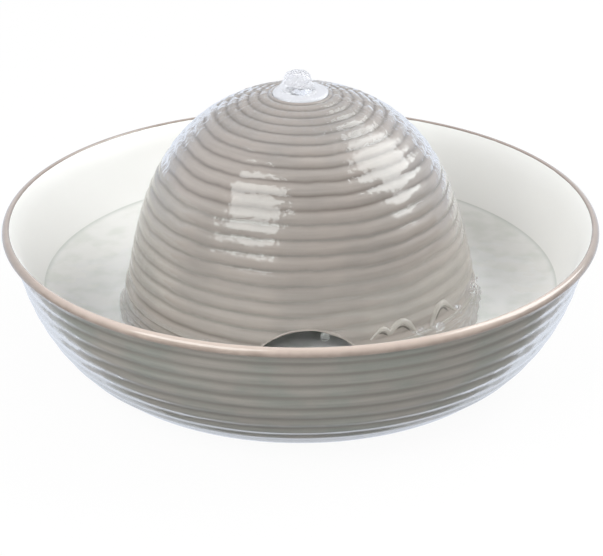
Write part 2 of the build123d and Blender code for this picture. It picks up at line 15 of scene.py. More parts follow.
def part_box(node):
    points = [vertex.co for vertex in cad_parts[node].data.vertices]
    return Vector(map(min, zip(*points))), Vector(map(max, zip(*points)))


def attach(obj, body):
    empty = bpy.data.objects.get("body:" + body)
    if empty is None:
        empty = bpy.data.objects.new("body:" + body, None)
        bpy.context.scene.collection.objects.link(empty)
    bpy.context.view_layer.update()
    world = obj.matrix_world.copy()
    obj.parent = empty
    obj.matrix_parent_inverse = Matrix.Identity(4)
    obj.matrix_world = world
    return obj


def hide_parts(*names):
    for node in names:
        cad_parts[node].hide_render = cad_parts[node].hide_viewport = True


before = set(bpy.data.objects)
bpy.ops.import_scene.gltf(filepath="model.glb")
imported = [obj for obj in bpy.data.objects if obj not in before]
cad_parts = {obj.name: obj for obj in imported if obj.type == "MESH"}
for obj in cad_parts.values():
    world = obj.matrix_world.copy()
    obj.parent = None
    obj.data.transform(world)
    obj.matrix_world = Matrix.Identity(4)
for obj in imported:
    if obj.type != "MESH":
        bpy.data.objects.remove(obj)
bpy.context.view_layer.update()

MM = 0.001


def ring(radius, height):
    """Point of a profile that is turned round the vertical axis."""
    return (radius, 0.0, height)


# ---------------------------------------------------------------- places from the frame
bowl_low, bowl_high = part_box("bowl")
nozzle_low, nozzle_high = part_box("outlet_nozzle")
RIM, BOWL_TOP, BOWL_FOOT = bowl_high.x, bowl_high.z, bowl_low.z
FLOOR_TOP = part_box("dome")[0].z
NOZZLE_RADIUS, NOZZLE_TOP = nozzle_high.x, nozzle_high.z

# sizes of the bowl that the frame's boxes don't give
FOOT_RADIUS = 100.0 * MM
FLOOR_RADIUS = 94.0 * MM
LIP_HEIGHT = 5.0 * MM
LIP_BOTTOM = BOWL_TOP - LIP_HEIGHT
LIP_OVERHANG = 5.0 * MM
LIP_INSIDE_ROLL = 3.7 * MM
LIP_CREST_INSET = 2.6 * MM
LIP_WIDEST_DROP = 2.8 * MM
RECESS_RADIUS = 78.0 * MM
RECESS_DEPTH = 2.0 * MM
BOWL_RIB_UNITS = 8.26
BOWL_RIB_DEPTH = 0.6 * MM
BOWL_FOOT_SHARE = 0.215
# first rib's width, how much each next one gains, and how many are narrower than a full rib
LIP_RIBS = (0.68, 0.09, 4)
# handles of the bowl's cubic side: out and up from the foot, in and down from the lip
BOWL_FOOT_HANDLE = (17.7 * MM, 5.2 * MM)
BOWL_LIP_HANDLE = (5.0 * MM, 40.0 * MM)
# profile of the bowl's inside, from the floor's edge up to the rolled lip
INSIDE_LEAN, INSIDE_DROP = 11.0 * MM, 26.5 * MM
lip_inside = ring(RIM - 9.4 * MM, BOWL_TOP - 10.0 * MM)
BOWL_INSIDE = [
    ring(FLOOR_RADIUS, FLOOR_TOP), ring(FLOOR_RADIUS + 24.0 * MM, FLOOR_TOP + 2.0 * MM),
    ring(lip_inside[0] - INSIDE_LEAN, lip_inside[2] - INSIDE_DROP), lip_inside,
]

# sizes of the dome
DOME_FOOT = 92.5 * MM
DOME_WALL = 6.5 * MM
DOME_CROWN = 142.6 * MM
DOME_INNER = DOME_CROWN - DOME_WALL
CROWN_RADIUS = 14.0 * MM
CROWN_SEAT = 139.2 * MM
CROWN_HOLE = 10.2 * MM
DOME_RIB_DEPTH = 0.8 * MM
DOME_RIBS = {"Rib_units": 23.0, "Rib_depth": DOME_RIB_DEPTH, "Softness": 0.45, "Unevenness": 0.5}
# handles of the dome's cubic side: in from the foot's radius, and up from the foot or down
# from the crown
DOME_FOOT_HANDLE = (8.0 * MM, 61.3 * MM)
DOME_CROWN_HANDLE = (12.4 * MM, 14.5 * MM)
CROWN_FIRST_RIB = 0.28
CROWN_RIBS = (0.7, 0.04, 8)
NOTCH_HALF_WIDTH = 31.0 * MM
NOTCH_HEIGHT = 44.0 * MM
CABLE_NOTCH_HALF_WIDTH = 8.0 * MM
CABLE_NOTCH_HEIGHT = 18.0 * MM

# water
WATER_LEVEL = 42.0 * MM
EDGE_RISE = 1.1 * MM
# how far water and beads reach into the ware behind them, and how deep a sheet's back lies
BEDDED = 0.3 * MM
SHEET_BACK = 2.0 * MM
# where the sheet of water on the dome parts and folds up in ridges: angles from the front and heights
RIDGES = (
    ((43.6, 41.5), (44.9, 46.0), (47.0, 50.4), (50.2, 52.8), (53.5, 50.6), (56.0, 46.6), (59.0, 43.2)),
    ((20.5, 46.0), (22.6, 49.3), (24.7, 50.8), (26.4, 49.0), (27.2, 47.6), (28.2, 49.4), (31.7, 52.4),
     (34.4, 50.2), (36.4, 46.0), (38.2, 42.6)),
)
# the arches of each ridge, by the angles between which they stand
RIDGE_ARCHES = (((44.5, 56.5),), ((22.0, 27.3), (28.0, 37.0)))
RIDGE_RADIUS = 1.6 * MM
# splashes: angle from the front, height, droplets, and the size of the largest
SPLASHES = (
    (38.7, 43.6, 14, 1.0), (45.2, 43.0, 7, 2.3), (35.0, 42.8, 8, 0.8), (59.0, 44.2, 12, 1.2),
    (73.0, 45.0, 18, 1.1), (78.5, 44.4, 12, 0.9), (-33.5, 44.6, 5, 1.2), (-28.0, 44.0, 6, 1.0),
)
SPRING_HEIGHT = 10.6 * MM
SPRING_RADIUS = 8.2 * MM
DROP_ANGLE = 5.5
DROP_HEIGHT = 49.9 * MM
DROP_RADIUS = 2.3 * MM
# share of a radius at which a cubic curve's handle follows a quarter circle
ROUND = 0.5523

# studio
# how far the camera and lamps stand round to the left of the notch, in degrees
TURNED = 2.3
LAMP_DISTANCE = 1.3
AIMED_HEIGHT = 90.0 * MM
LENS = 143.28
CAMERA_PLACE = (0.0005, -1.1089, 0.56385)
# how far the camera looks down, in degrees
CAMERA_TILT = 25.24
AIR_LIGHT = 0.65
# how bright the side of the room behind the camera is in reflections, and the room's colour there
FRONT_ROOM = 0.22
MIRRORED_ROOM = (0.82, 0.87, 0.96, 1.0)
WHITE = (1.0, 1.0, 1.0, 1.0)
BLACK = (0.0, 0.0, 0.0, 1.0)


# ---------------------------------------------------------------- node writing
class Field:
    """A node's output. Fields reckon like numbers, with a maths node for every step."""

    def __init__(self, socket):
        self.socket, self.tree = socket, socket.id_data

    def __rsub__(self, other):
        return maths("SUBTRACT", other, self)

    def __neg__(self):
        return self * -1.0

    def __abs__(self):
        return maths("ABSOLUTE", self)


for signs, operation in (
    (("__add__", "__radd__"), "ADD"), (("__sub__",), "SUBTRACT"), (("__mul__", "__rmul__"), "MULTIPLY"),
    (("__truediv__",), "DIVIDE"), (("__pow__",), "POWER"), (("__lt__",), "LESS_THAN"),
):
    for sign in signs:
        setattr(Field, sign, lambda self, other, kind=operation: maths(kind, self, other))


class Laid:
    """A node in its tree, whose outputs are read as fields by name or number."""

    def __init__(self, node):
        self.node = node

    def __getitem__(self, key):
        return Field(self.node.outputs[key])


def plug(socket, value):
    """Wires a field into an input, or sets a number on it."""
    if isinstance(value, Field):
        value.tree.links.new(value.socket, socket)
    else:
        socket.default_value = value


def lay(tree, kind, inputs=None, **settings):
    """Adds a node. settings are its options, inputs its numbers or the fields wired in."""
    node = tree.nodes.new(kind)
    for name, value in settings.items():
        setattr(node, name, value)
    for key, value in (inputs or {}).items():
        plug(node.inputs[key], value)
    return Laid(node)


def maths(operation, *values):
    """One maths node on fields and numbers."""
    tree = next(value.tree for value in values if isinstance(value, Field))
    return lay(tree, "ShaderNodeMath", dict(enumerate(values)), operation=operation)[0]


def larger(first, second):
    """The larger of two values."""
    return maths("MAXIMUM", first, second)


def band(value, low, high, bottom=0.0, top=1.0):
    """Smooth step of a field between two limits."""
    limits = {"Value": value, "From Min": low, "From Max": high, "To Min": bottom, "To Max": top}
    return lay(value.tree, "ShaderNodeMapRange", limits, interpolation_type="SMOOTHSTEP")["Result"]


def falling(value, low, high):
    """Smooth step from 1 down to 0."""
    return band(value, low, high, 1.0, 0.0)


def vector(*parts):
    """Vector of three fields or numbers."""
    fields = [part for part in parts if isinstance(part, Field)]
    return lay(fields[0].tree, "ShaderNodeCombineXYZ", dict(enumerate(parts)))[0] if fields else parts


def apart(field):
    """The three parts of a vector, by number."""
    return lay(field.tree, "ShaderNodeSeparateXYZ", {0: field})


def clouds(where, scale, detail, seed, rough=0.5):
    """Noise from 0 to 1 at a place."""
    inputs = {"Vector": where, "W": seed, "Scale": scale, "Detail": detail, "Roughness": rough}
    return lay(where.tree, "ShaderNodeTexNoise", inputs, noise_dimensions="4D")[0]


# ---------------------------------------------------------------- objects
def stand(name, data):
    """New object in the scene."""
    piece = bpy.data.objects.new(name, data)
    bpy.context.scene.collection.objects.link(piece)
    return piece


def cast(name, form, material):
    """Smooth object of a finished form."""
    mesh = bpy.data.meshes.new(name)
    form.to_mesh(mesh)
    form.free()
    mesh.materials.append(material)
    mesh.polygons.foreach_set("use_smooth", [True] * len(mesh.polygons))
    return stand(name, mesh)


def settle(piece, body, slot=None, *nodes, crease=None):
    """Applies a piece's modifiers, sets it on its body and lets it stand for CAD nodes."""
    bpy.context.view_layer.update()
    graph = bpy.context.evaluated_depsgraph_get()
    mesh = bpy.data.meshes.new_from_object(piece.evaluated_get(graph))
    name = piece.name
    piece.modifiers.clear()
    if piece.type != "MESH":
        bpy.data.objects.remove(piece)
        piece = stand(name, mesh)
    piece.data = mesh
    mesh.name = name
    if crease:
        mesh.set_sharp_from_angle(angle=radians(crease))
    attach(piece, body)
    if nodes:
        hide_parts(*nodes)
    return piece


# ---------------------------------------------------------------- geometry trees
Spot = namedtuple("Spot", "angle share height")


def part_way(start, end, share):
    """Point at a share of the way between two points."""
    return tuple(a + (b - a) * share for a, b in zip(start, end))


def straight(start, end):
    """Four points of a straight profile."""
    return [start, part_way(start, end, 1 / 3), part_way(start, end, 2 / 3), end]


class Shaping:
    """One geometry node tree with named sizes, on nothing or on a curve."""

    def __init__(self, name, curve=None, **sizes):
        self.name, self.start = name, curve or bpy.data.meshes.new(name)
        self.tree = bpy.data.node_groups.new(name, "GeometryNodeTree")
        self.sizes = {label.replace("_", " "): value for label, value in sizes.items()}
        kinds = {tuple: "NodeSocketVector", int: "NodeSocketInt", float: "NodeSocketFloat"}
        sockets = [("Geometry", "OUTPUT", "NodeSocketGeometry")]
        sockets += [("Geometry", "INPUT", "NodeSocketGeometry")] if curve else []
        sockets += [(label, "INPUT", kinds[type(value)]) for label, value in self.sizes.items()]
        for label, way, kind in sockets:
            self.tree.interface.new_socket(label, in_out=way, socket_type=kind)
        self.given = lay(self.tree, "NodeGroupInput")

    def size(self, label):
        """Field of a named input, or a plain value as it is."""
        return self.given[label] if isinstance(label, str) else label

    def lay(self, kind, inputs=None, **settings):
        """Adds a node and gives its first output."""
        return lay(self.tree, kind, inputs, **settings)[0]

    def fire(self, mesh, material, body, slot=None, *nodes, crease=None):
        """Ends the tree, and turns it into a plain mesh that rides on a body."""
        real = self.lay("GeometryNodeRealizeInstances", {0: mesh})
        smooth = self.lay("GeometryNodeSetShadeSmooth", {0: real})
        dressed = self.lay("GeometryNodeSetMaterial", {"Geometry": smooth, "Material": material})
        lay(self.tree, "NodeGroupOutput", {0: dressed})
        piece = stand(self.name, self.start)
        modifier = piece.modifiers.new(self.name, "NODES")
        modifier.node_group = self.tree
        for item in self.tree.interface.items_tree:
            if item.item_type == "SOCKET" and item.name in self.sizes:
                modifier[item.identifier] = self.sizes[item.name]
        return settle(piece, body, slot, *nodes, crease=crease)


class Turning(Shaping):
    """Walls turned round the vertical axis. Fields on them are functions of a spot."""

    def noise(self, at, across, up, seed, detail=2.0):
        """Smooth noise round the ware, from -0.5 to 0.5. It closes on itself after one turn."""
        toward, right = maths("COSINE", at.angle), maths("SINE", at.angle)
        return clouds(vector(toward * across, right * across, at.height * up), 1.0, detail, seed) - 0.5

    def around(self, angle, radius, height):
        """Place at an angle from the front, a radius and a height."""
        return vector(radius * maths("SINE", angle), -(radius * maths("COSINE", angle)), height)

    def mark(self, mesh, name, value, kind="FLOAT"):
        """Keeps a field on the mesh for its material."""
        inputs = {"Geometry": mesh, "Name": name, "Value": value}
        return self.lay("GeometryNodeStoreNamedAttribute", inputs, data_type=kind, domain="POINT")

    def wall(self, points, along, inset=None, marks=None, least_radius=0.0, least_height=0.0,
             span=(0.0, 1.0)):
        """One patch turned from a span of a cubic profile. Its outside is left of the way it runs.

        along is its number of rows, inset gives how far a spot sinks into the ware, and marks
        gives the fields kept by name.
        """
        columns = self.size("Around") + 1
        mesh = self.lay(
            "GeometryNodeMeshGrid",
            {"Size X": 1.0, "Size Y": 1.0, "Vertices X": columns, "Vertices Y": along + 1},
        )
        square = apart(self.lay("GeometryNodeInputPosition"))
        angle = (square[0] + 0.5) * (2 * pi)
        share = (square[1] + 0.5) * (span[1] - span[0]) + span[0]
        labels = ("Start", "Start Handle", "End Handle", "End")
        curve = self.lay(
            "GeometryNodeCurvePrimitiveBezierSegment",
            {"Resolution": 96, **{label: self.size(point) for label, point in zip(labels, points)}},
            mode="POSITION",
        )
        reading = lay(
            self.tree, "GeometryNodeSampleCurve", {"Curves": curve, "Factor": share}, mode="FACTOR",
            use_all_curves=True,
        )
        place, slope = apart(reading["Position"]), apart(reading["Tangent"])
        radius, height = place[0], place[2]
        at = Spot(angle, share, height)
        for name, field in (marks or {}).items():
            mesh = self.mark(mesh, name, field(at) if callable(field) else field)
        unribbed = self.around(angle, slope[2], -slope[0])
        mesh = self.mark(mesh, "unribbed_normal", unribbed, "FLOAT_VECTOR")
        if inset:
            depth = inset(at)
            radius, height = radius - slope[2] * depth, height + slope[0] * depth
        if least_radius:
            radius = larger(radius, least_radius)
        if least_height:
            height = larger(height, least_height)
        place = self.around(angle, radius, height)
        return self.lay("GeometryNodeSetPosition", {"Geometry": mesh, "Position": place})

    def join(self, *meshes, weld=0.05 * MM):
        """Joins patches and welds their shared borders."""
        joined = lay(self.tree, "GeometryNodeJoinGeometry")
        for mesh in reversed(meshes):
            plug(joined.node.inputs[0], mesh)
        if not weld:
            return joined[0]
        return self.lay("GeometryNodeMergeByDistance", {"Geometry": joined[0], "Distance": weld})

    def archway(self, mesh, side, half_width, height):
        """Cuts a round-topped notch through the wall's foot, at the front (-1) or the back (1)."""
        half_width, height = self.size(half_width), self.size(height)
        reach = 2 * DOME_FOOT
        spring_line = height - half_width + FLOOR_TOP
        barrel = self.lay(
            "GeometryNodeMeshCylinder", {"Vertices": 96, "Radius": half_width, "Depth": reach}
        )
        block = vector(half_width * 2.0, reach, spring_line * 2.0)
        legs = self.lay("GeometryNodeMeshCube", {"Size": block})
        for tool, up, turn in ((barrel, spring_line, pi / 2), (legs, 0.0, 0.0)):
            middle = vector(0.0, side * reach / 2, up)
            tool = self.lay(
                "GeometryNodeTransform",
                {"Geometry": tool, "Translation": middle, "Rotation": (turn, 0.0, 0.0)},
            )
            mesh = self.lay(
                "GeometryNodeMeshBoolean", {"Mesh 1": mesh, "Mesh 2": tool}, operation="DIFFERENCE",
                solver="MANIFOLD",
            )
        return mesh


# ---------------------------------------------------------------- materials
def paint(red, green, blue):
    """Colour written as a screen shows it, from 0 to 255."""
    parts = [channel / 255 for channel in (red, green, blue)]
    linear = [part / 12.92 if part <= 0.04045 else ((part + 0.055) / 1.055) ** 2.4 for part in parts]
    return (*linear, 1.0)


class Finish:
    """A material with one Principled surface, written node by node."""

    def __init__(self, name, **surface):
        self.material = bpy.data.materials.new(name)
        self.material.use_nodes = True
        self.tree = self.material.node_tree
        self.surface = self.tree.nodes["Principled BSDF"]
        self.object = lay(self.tree, "ShaderNodeTexCoord")["Object"]
        self.set(**surface)

    def set(self, **surface):
        """Wires or sets sockets of the surface."""
        for key, value in surface.items():
            plug(self.surface.inputs[key.replace("_", " ")], value)

    def noise(self, scale, detail=3.0, stretch=None, seed=0.0, rough=0.5):
        """Noise from 0 to 1, with a scale per metre and a stretch of each axis."""
        where = self.object
        if stretch:
            where = lay(self.tree, "ShaderNodeMapping", {"Vector": where, "Scale": stretch})[0]
        return clouds(where, scale, detail, seed, rough)

    def kept(self, name, output="Fac"):
        """Field kept on the mesh by its geometry tree."""
        return lay(self.tree, "ShaderNodeAttribute", attribute_name=name)[output]

    def between(self, factor, first, second, kind="MIX"):
        """Mix of two colours by a factor."""
        colours = {0: factor, 6: first, 7: second}
        return lay(self.tree, "ShaderNodeMix", colours, data_type="RGBA", blend_type=kind)[2]

    def mottled(self, scale, seed, first, second):
        """Cloudy patches of two close shades, each one written as a screen shows it."""
        return self.between(self.noise(scale, seed=seed), paint(*first), paint(*second))

    def relief(self, height, depth, normal=None):
        """Normal of a surface relief with a depth in metres."""
        inputs = {"Height": height, "Distance": depth, "Strength": 1.0}
        inputs.update({"Normal": normal} if normal else {})
        return lay(self.tree, "ShaderNodeBump", inputs)[0]

    def cover(self, share, kind, **inputs):
        """Lays another shader over the surface by a share."""
        over = lay(self.tree, kind, inputs)[0]
        shaders = {0: share, 1: Field(self.surface.outputs[0]), 2: over}
        mixed = lay(self.tree, "ShaderNodeMixShader", shaders)[0]
        plug(self.tree.nodes["Material Output"].inputs["Surface"], mixed)


def grey(field):
    """Grey colour of a field."""
    return lay(field.tree, "ShaderNodeCombineColor", {0: field, 1: field, 2: field})[0]


def glaze(name, crest, valley_shade, cool, film_smoothing, under_water=None, **surface):
    """Glossy glaze over ribbed clay, with painted shade that darkens the ribs' valleys. A film of water
    or thick glaze smooths the ribs' shine.

    under_water makes, from the finish, the share by which a thick sheet of water weakens the
    painted shade in the valleys.
    """
    finish = Finish(
        name, Roughness=0.32, IOR=1.22, Coat_Weight=1.0, Coat_Roughness=0.02, Coat_IOR=1.6, **surface
    )
    tree = finish.tree
    crest, valley_shade, cool = [paint(*colour) for colour in (crest, valley_shade, cool)]
    # painted shade: the rib valleys are painted darker, towards the valley colour, by how deep they lie
    valley_shade_share = finish.kept("valley_shade") ** 2.4
    if under_water:
        valley_shade_share = valley_shade_share * (1.0 - under_water(finish) * 0.75)
    ground = finish.between(band(finish.noise(38.0, 4.0, seed=2.0), 0.38, 0.66), crest, cool)
    ground = finish.between(valley_shade_share * 0.92, ground, valley_shade)
    lines = finish.noise(520.0, 3.0, (0.05, 0.05, 1.0), seed=15.0, rough=0.6)
    ground = finish.between(0.22, ground, grey(lines), "OVERLAY")
    grains = finish.noise(1900.0, 2.0, seed=5.0, rough=0.7)
    ground = finish.between(0.09, ground, grey(grains), "OVERLAY")
    # the film's own normal: mostly the unribbed ware's, a little of the ribs'
    flat = lay(
        tree, "ShaderNodeVectorTransform", {0: finish.kept("unribbed_normal", "Vector")},
        vector_type="NORMAL", convert_from="OBJECT", convert_to="WORLD",
    )[0]
    ribbed = lay(tree, "ShaderNodeNewGeometry")["Normal"]
    film = lay(
        tree, "ShaderNodeMix", {0: film_smoothing, 4: ribbed, 5: flat}, data_type="VECTOR",
        factor_mode="UNIFORM",
    )[1]
    return finish, ground, lay(tree, "ShaderNodeVectorMath", {0: film}, operation="NORMALIZE")[0]


def wet(finish, film, *ripples):
    """Sets the coat's normal from the film's and from ripple fields with their depths."""
    for height, depth in ripples:
        film = finish.relief(height, depth, film)
    finish.set(Coat_Normal=film)
    return film


def edge_gloss(finish, normal, uneven, start, strength):
    """Gives a wet film the strong shine that it has where it is seen edge on."""
    facing = lay(finish.tree, "ShaderNodeLayerWeight", {"Blend": 0.5, "Normal": normal})["Facing"]
    edge = facing + (uneven - 0.5) * 0.4 - start
    share = band(edge, 0.0, 0.14) * strength
    finish.cover(share, "ShaderNodeBsdfAnisotropic", Color=WHITE, Roughness=0.06, Normal=normal)


# ---------------------------------------------------------------- glazes of the ware
WHITE_GLAZE = (250, 251, 249)


def thick_sheet(finish):
    """Share of the water sheet's full thickness: it is thick on the dome's lower right."""
    place = apart(finish.object)
    return band(place[0], -20.0 * MM, 25.0 * MM) * falling(place[2], 68.0 * MM, 92.0 * MM)


def dome_finish():
    """Warm greige glaze of the dome under running water."""
    # the valley colour is painted shade for the dome's rib valleys
    finish, ground, film = glaze(
        "greige_glaze", crest=(164, 156, 149), valley_shade=(112, 104, 97), cool=(155, 149, 143),
        film_smoothing=0.64, under_water=thick_sheet,
        Sheen_Weight=0.12, Sheen_Roughness=0.22, Sheen_Tint=paint(236, 242, 252),
    )
    place = apart(finish.object)
    out = maths("SQRT", place[0] * place[0] + place[1] * place[1])
    flank = band(abs(place[0]) / larger(out, MM), 0.84, 0.99)
    shoulder = band(place[2], 112.0 * MM, 136.0 * MM, 0.0, 0.7)
    uneven_film = finish.noise(430.0, 3.0, (1.0, 1.0, 0.22), seed=13.0, rough=0.6)
    slow = finish.noise(90.0, 2.0, (1.0, 1.0, 0.45), seed=1.0)
    quick = finish.noise(300.0, 2.0, (0.6, 0.6, 1.2), seed=3.0)
    streaks = uneven_film * larger(flank, shoulder)
    jagged = finish.noise(650.0, 2.0, (1.0, 1.0, 0.5), seed=14.0)
    wavelets = finish.noise(330.0, 2.0, (0.3, 0.3, 1.5), seed=17.0) * thick_sheet(finish)
    wet_normal = wet(
        finish, film, (slow, 0.75 * MM), (quick, 0.28 * MM), (streaks, 0.4 * MM), (jagged, 0.06 * MM),
        (wavelets, 0.4 * MM),
    )
    upper = band(place[2], 58.0 * MM, 100.0 * MM, 0.12, 0.9)
    inner_side = finish.kept("white")
    edge_gloss(finish, wet_normal, uneven_film, 0.66, upper * falling(inner_side, 0.4, 0.6))
    inside = finish.mottled(30.0, 6.0, WHITE_GLAZE, (240, 240, 236))
    finish.set(
        Base_Color=finish.between(band(inner_side, 0.4, 0.6), ground, inside),
        Normal=finish.relief(finish.noise(700.0, 2.0, seed=4.0), 0.02 * MM),
    )
    return finish.material


def bowl_finish():
    """Greige outside, thin warm glaze over the lip, white inside and bare clay under the foot."""
    # the valley colour is painted shade for the bowl's rib valleys
    finish, ground, film = glaze(
        "bowl_glaze", crest=(147, 143, 136), valley_shade=(122, 119, 112), cool=(137, 139, 132),
        film_smoothing=0.5, Sheen_Weight=0.1, Sheen_Roughness=0.2, Sheen_Tint=paint(232, 238, 252),
    )
    break_up = finish.noise(120.0, 3.0, seed=7.0)
    # masks of the named zones, with slightly uneven edges
    ragged = (break_up - 0.5) * 0.5
    thin, white, bare = [
        band(finish.kept(zone) + ragged, 0.42, 0.58) for zone in ("thin", "white", "bare")
    ]
    place = apart(finish.object)
    # painted light and shade: the lip's glaze is painted paler towards its crest, where it faces up to
    # the light, and towards the front, and darker down its outside and round the sides and back
    run = finish.kept("lip_light") + (break_up - 0.5) * 0.4
    front = band(place[1], -135.0 * MM, -50.0 * MM, 1.0, 0.4)
    warm = finish.between(band(run * front, 0.0, 0.75), paint(133, 121, 111), paint(203, 187, 176))
    inside = finish.mottled(25.0, 8.0, WHITE_GLAZE, (246, 247, 244))
    clay = finish.mottled(900.0, 9.0, (214, 198, 176), (198, 180, 156))
    slow = finish.noise(60.0, 2.0, seed=11.0)
    wavy = finish.noise(170.0, 2.0, (0.5, 0.5, 1.3), seed=16.0)
    wet_normal = wet(finish, film, (slow, 0.25 * MM), (wavy, 0.12 * MM))
    outside = (1.0 - thin) * (1.0 - white) * (1.0 - bare)
    upper = band(place[2], 10.0 * MM, 42.0 * MM, 0.08, 0.6)
    edge_gloss(finish, wet_normal, wavy, 0.64, outside * upper)
    for zone, colour in ((thin, warm), (white, inside), (bare, clay)):
        ground = finish.between(zone, ground, colour)
    finish.set(
        Base_Color=ground, Coat_Weight=larger(1.0 - (bare + white * 0.9), 0.0),
        Roughness=bare * 0.55 + 0.28 + white * 0.2,
        Normal=finish.relief(finish.noise(600.0, 2.0, seed=12.0), 0.015 * MM),
    )
    return finish.material


def bead_finish():
    """Glaze that ran thin and pale over the notch's edge."""
    finish, ground, _ = glaze(
        "notch_bead", crest=(170, 162, 154), valley_shade=(130, 122, 115), cool=(160, 152, 145),
        film_smoothing=0.0,
    )
    finish.set(Base_Color=ground)
    return finish.material


def water_finish(name, ripples, tint, foam=0.0, cloudy=0.0, tint_and_mottled_shade=None, churned=0.0, ripple_detail=2.0):
    """Clear water. Lamps shine through it, so that what lies under it stays lit.

    ripples are pairs of a scale per metre and a depth, foam is the share whitened by small
    bubbles, cloudy is how milky the rest is, the mottle tint a second, greyer tint in slow
    clouds, partly the water's own tint and partly painted shade standing in for caustics and
    reflections, which also brings a painted darker band at the shore, and churned the share of
    fine bubbles where the mesh says so.
    """
    tint = paint(*tint)
    finish = Finish(name, Base_Color=tint, Roughness=0.03, IOR=1.333, Transmission_Weight=1.0 - cloudy)
    normal = None
    for place, (scale, depth) in enumerate(ripples):
        normal = finish.relief(finish.noise(scale, ripple_detail, seed=21.0 + place), depth, normal)
    finish.set(Normal=normal)
    if tint_and_mottled_shade:
        # painted light and shade: slow clouds of a greyer tint, over the water's own tint, stand in for
        # caustics and reflections on the pool
        patches = band(finish.noise(75.0, 3.0, seed=29.0), 0.42, 0.68)
        tint = finish.between(patches, tint, paint(*tint_and_mottled_shade))
        # painted shade: a thin band at the water's edge is tinted darker grey, standing in for the dark
        # reflection in the meniscus
        finish.set(Base_Color=finish.between(finish.kept("shore") * 0.8, tint, paint(186, 193, 186)))
    if foam:
        bubbles = finish.noise(850.0, 3.0, seed=27.0, rough=0.65)
        finish.set(Transmission_Weight=band(bubbles, 0.72 - foam, 0.86 - foam, 1.0 - cloudy, 0.25))
    elif churned:
        finish.set(Transmission_Weight=1.0 - finish.kept("churned") * churned)
    path = lay(finish.tree, "ShaderNodeLightPath")
    through = larger(path["Is Shadow Ray"], path["Is Diffuse Ray"])
    finish.cover(through, "ShaderNodeBsdfTransparent", Color=WHITE)
    return finish.material


# ---------------------------------------------------------------- moulded, metal and foam finishes
def moulded(name, base, shade, roughness, grain=1500.0, depth=0.01 * MM, **surface):
    """Moulded plastic or rubber: two close shades, a fine grain and an uneven gloss."""
    finish = Finish(name, **surface)
    finish.set(
        Base_Color=finish.mottled(180.0, 31.0, base, shade),
        Roughness=finish.noise(420.0, 3.0, seed=32.0) * 0.16 + (roughness - 0.08),
        Normal=finish.relief(finish.noise(grain, 2.0, seed=33.0), depth),
    )
    return finish.material


def banded(name, base, shade, pitch, direction, depth, **surface):
    """Metal in parallel layers or turns of wire, each one with a dark line beside it."""
    finish = Finish(name, **surface)
    waves = {"Vector": finish.object, "Scale": 2 * pi / (20.0 * pitch), "Distortion": 0.0}
    turns = lay(finish.tree, "ShaderNodeTexWave", waves, bands_direction=direction)["Fac"]
    tone = finish.mottled(260.0, 41.0, base, shade)
    dark = finish.between(0.6, tone, BLACK)
    finish.set(
        Base_Color=finish.between(band(turns, 0.0, 0.3), dark, tone), Normal=finish.relief(turns, depth)
    )
    return finish.material


def speckled(name, base, fleck, flecks, roughness, depth):
    """Fired or pressed powder with flecks."""
    finish = Finish(name)
    grains = finish.noise(flecks, 3.0, seed=51.0, rough=0.7)
    finish.set(
        Base_Color=finish.between(band(grains, 0.5, 0.7), paint(*base), paint(*fleck)),
        Roughness=grains * 0.2 + (roughness - 0.1), Normal=finish.relief(grains, depth),
    )
    return finish.material


def sponge_finish():
    """Open foam: pores painted dark as the shade inside them, between lighter struts."""
    finish = Finish("foam", Roughness=0.9)
    cells = lay(finish.tree, "ShaderNodeTexVoronoi", {"Vector": finish.object, "Scale": 620.0})
    pores = band(cells["Distance"], 0.15, 0.55)
    shade = finish.mottled(300.0, 61.0, (92, 97, 102), (78, 83, 88))
    # painted shade: the pores are painted near black
    finish.set(Base_Color=finish.between(pores, paint(34, 36, 39), shade))
    finish.set(Normal=finish.relief(pores, 0.35 * MM))
    return finish.material


# ---------------------------------------------------------------- ribs of the ware
def ribs_passed(units, first, growth, narrow):
    """Ribs passed on the way down from the top, by a distance in widths of a full rib.

    The first few widen one by one from the first one's width.
    """
    start = first - growth / 2
    widened = first * narrow + growth * narrow * (narrow - 1) / 2
    near = (maths("SQRT", units * (2 * growth) + start ** 2) - start) * (1 / growth)
    below = units + (narrow - widened)
    return below + (units < widened) * (near - below)


def rib_section(edge, softness):
    """Sink of a rib's section by the distance from its crest: an arc, or as soft as a wave."""
    arc = edge * edge
    wave = 0.5 - maths("COSINE", edge * pi) * 0.5
    return arc + (wave - arc) * softness


def from_crest(ribs):
    """Distance from a rib's crest, 1 in the valleys, by the number of ribs passed."""
    return abs(maths("FRACT", ribs) * 2.0 - 1.0)


def sway(ware, at, seed):
    """How far the potter's hand let the ribs wander, in ribs. None at either end of the side."""
    middle = at.share * (1.0 - at.share) * 4.0
    wander = ware.noise(at, 2.3, 28.0, seed) + ware.noise(at, 6.5, 75.0, seed + 0.5) * 0.5
    return wander * middle * ware.size("Unevenness")


def bowl_ribs(ware):
    """Sink of the bowl's ribs at a spot of its side. The lowest, broader one is the foot."""
    foot_share = ware.size("Foot share")

    def sink(at):
        units = (1.0 - at.share) / (1.0 - foot_share) * ware.size("Rib units")
        ribs = ribs_passed(units, *LIP_RIBS) + sway(ware, at, 1.0)
        foot = larger(at.share / foot_share * 2.0 - 1.0, 0.0)
        in_foot = at.share < foot_share
        edge = in_foot * foot + (1.0 - in_foot) * from_crest(ribs)
        return rib_section(edge, ware.size("Softness"))

    return sink


def dome_ribs(ware):
    """Sink of the dome's ribs at a spot of its side, which starts at the foot."""

    def sink(at):
        units = (1.0 - at.share) * ware.size("Rib units")
        first = maths("MINIMUM", units * (1 / CROWN_FIRST_RIB), 1.0)
        ribs = first + ribs_passed(larger(units - CROWN_FIRST_RIB, 0.0), *CROWN_RIBS)
        return rib_section(from_crest(ribs + sway(ware, at, 3.0)), ware.size("Softness"))

    return sink


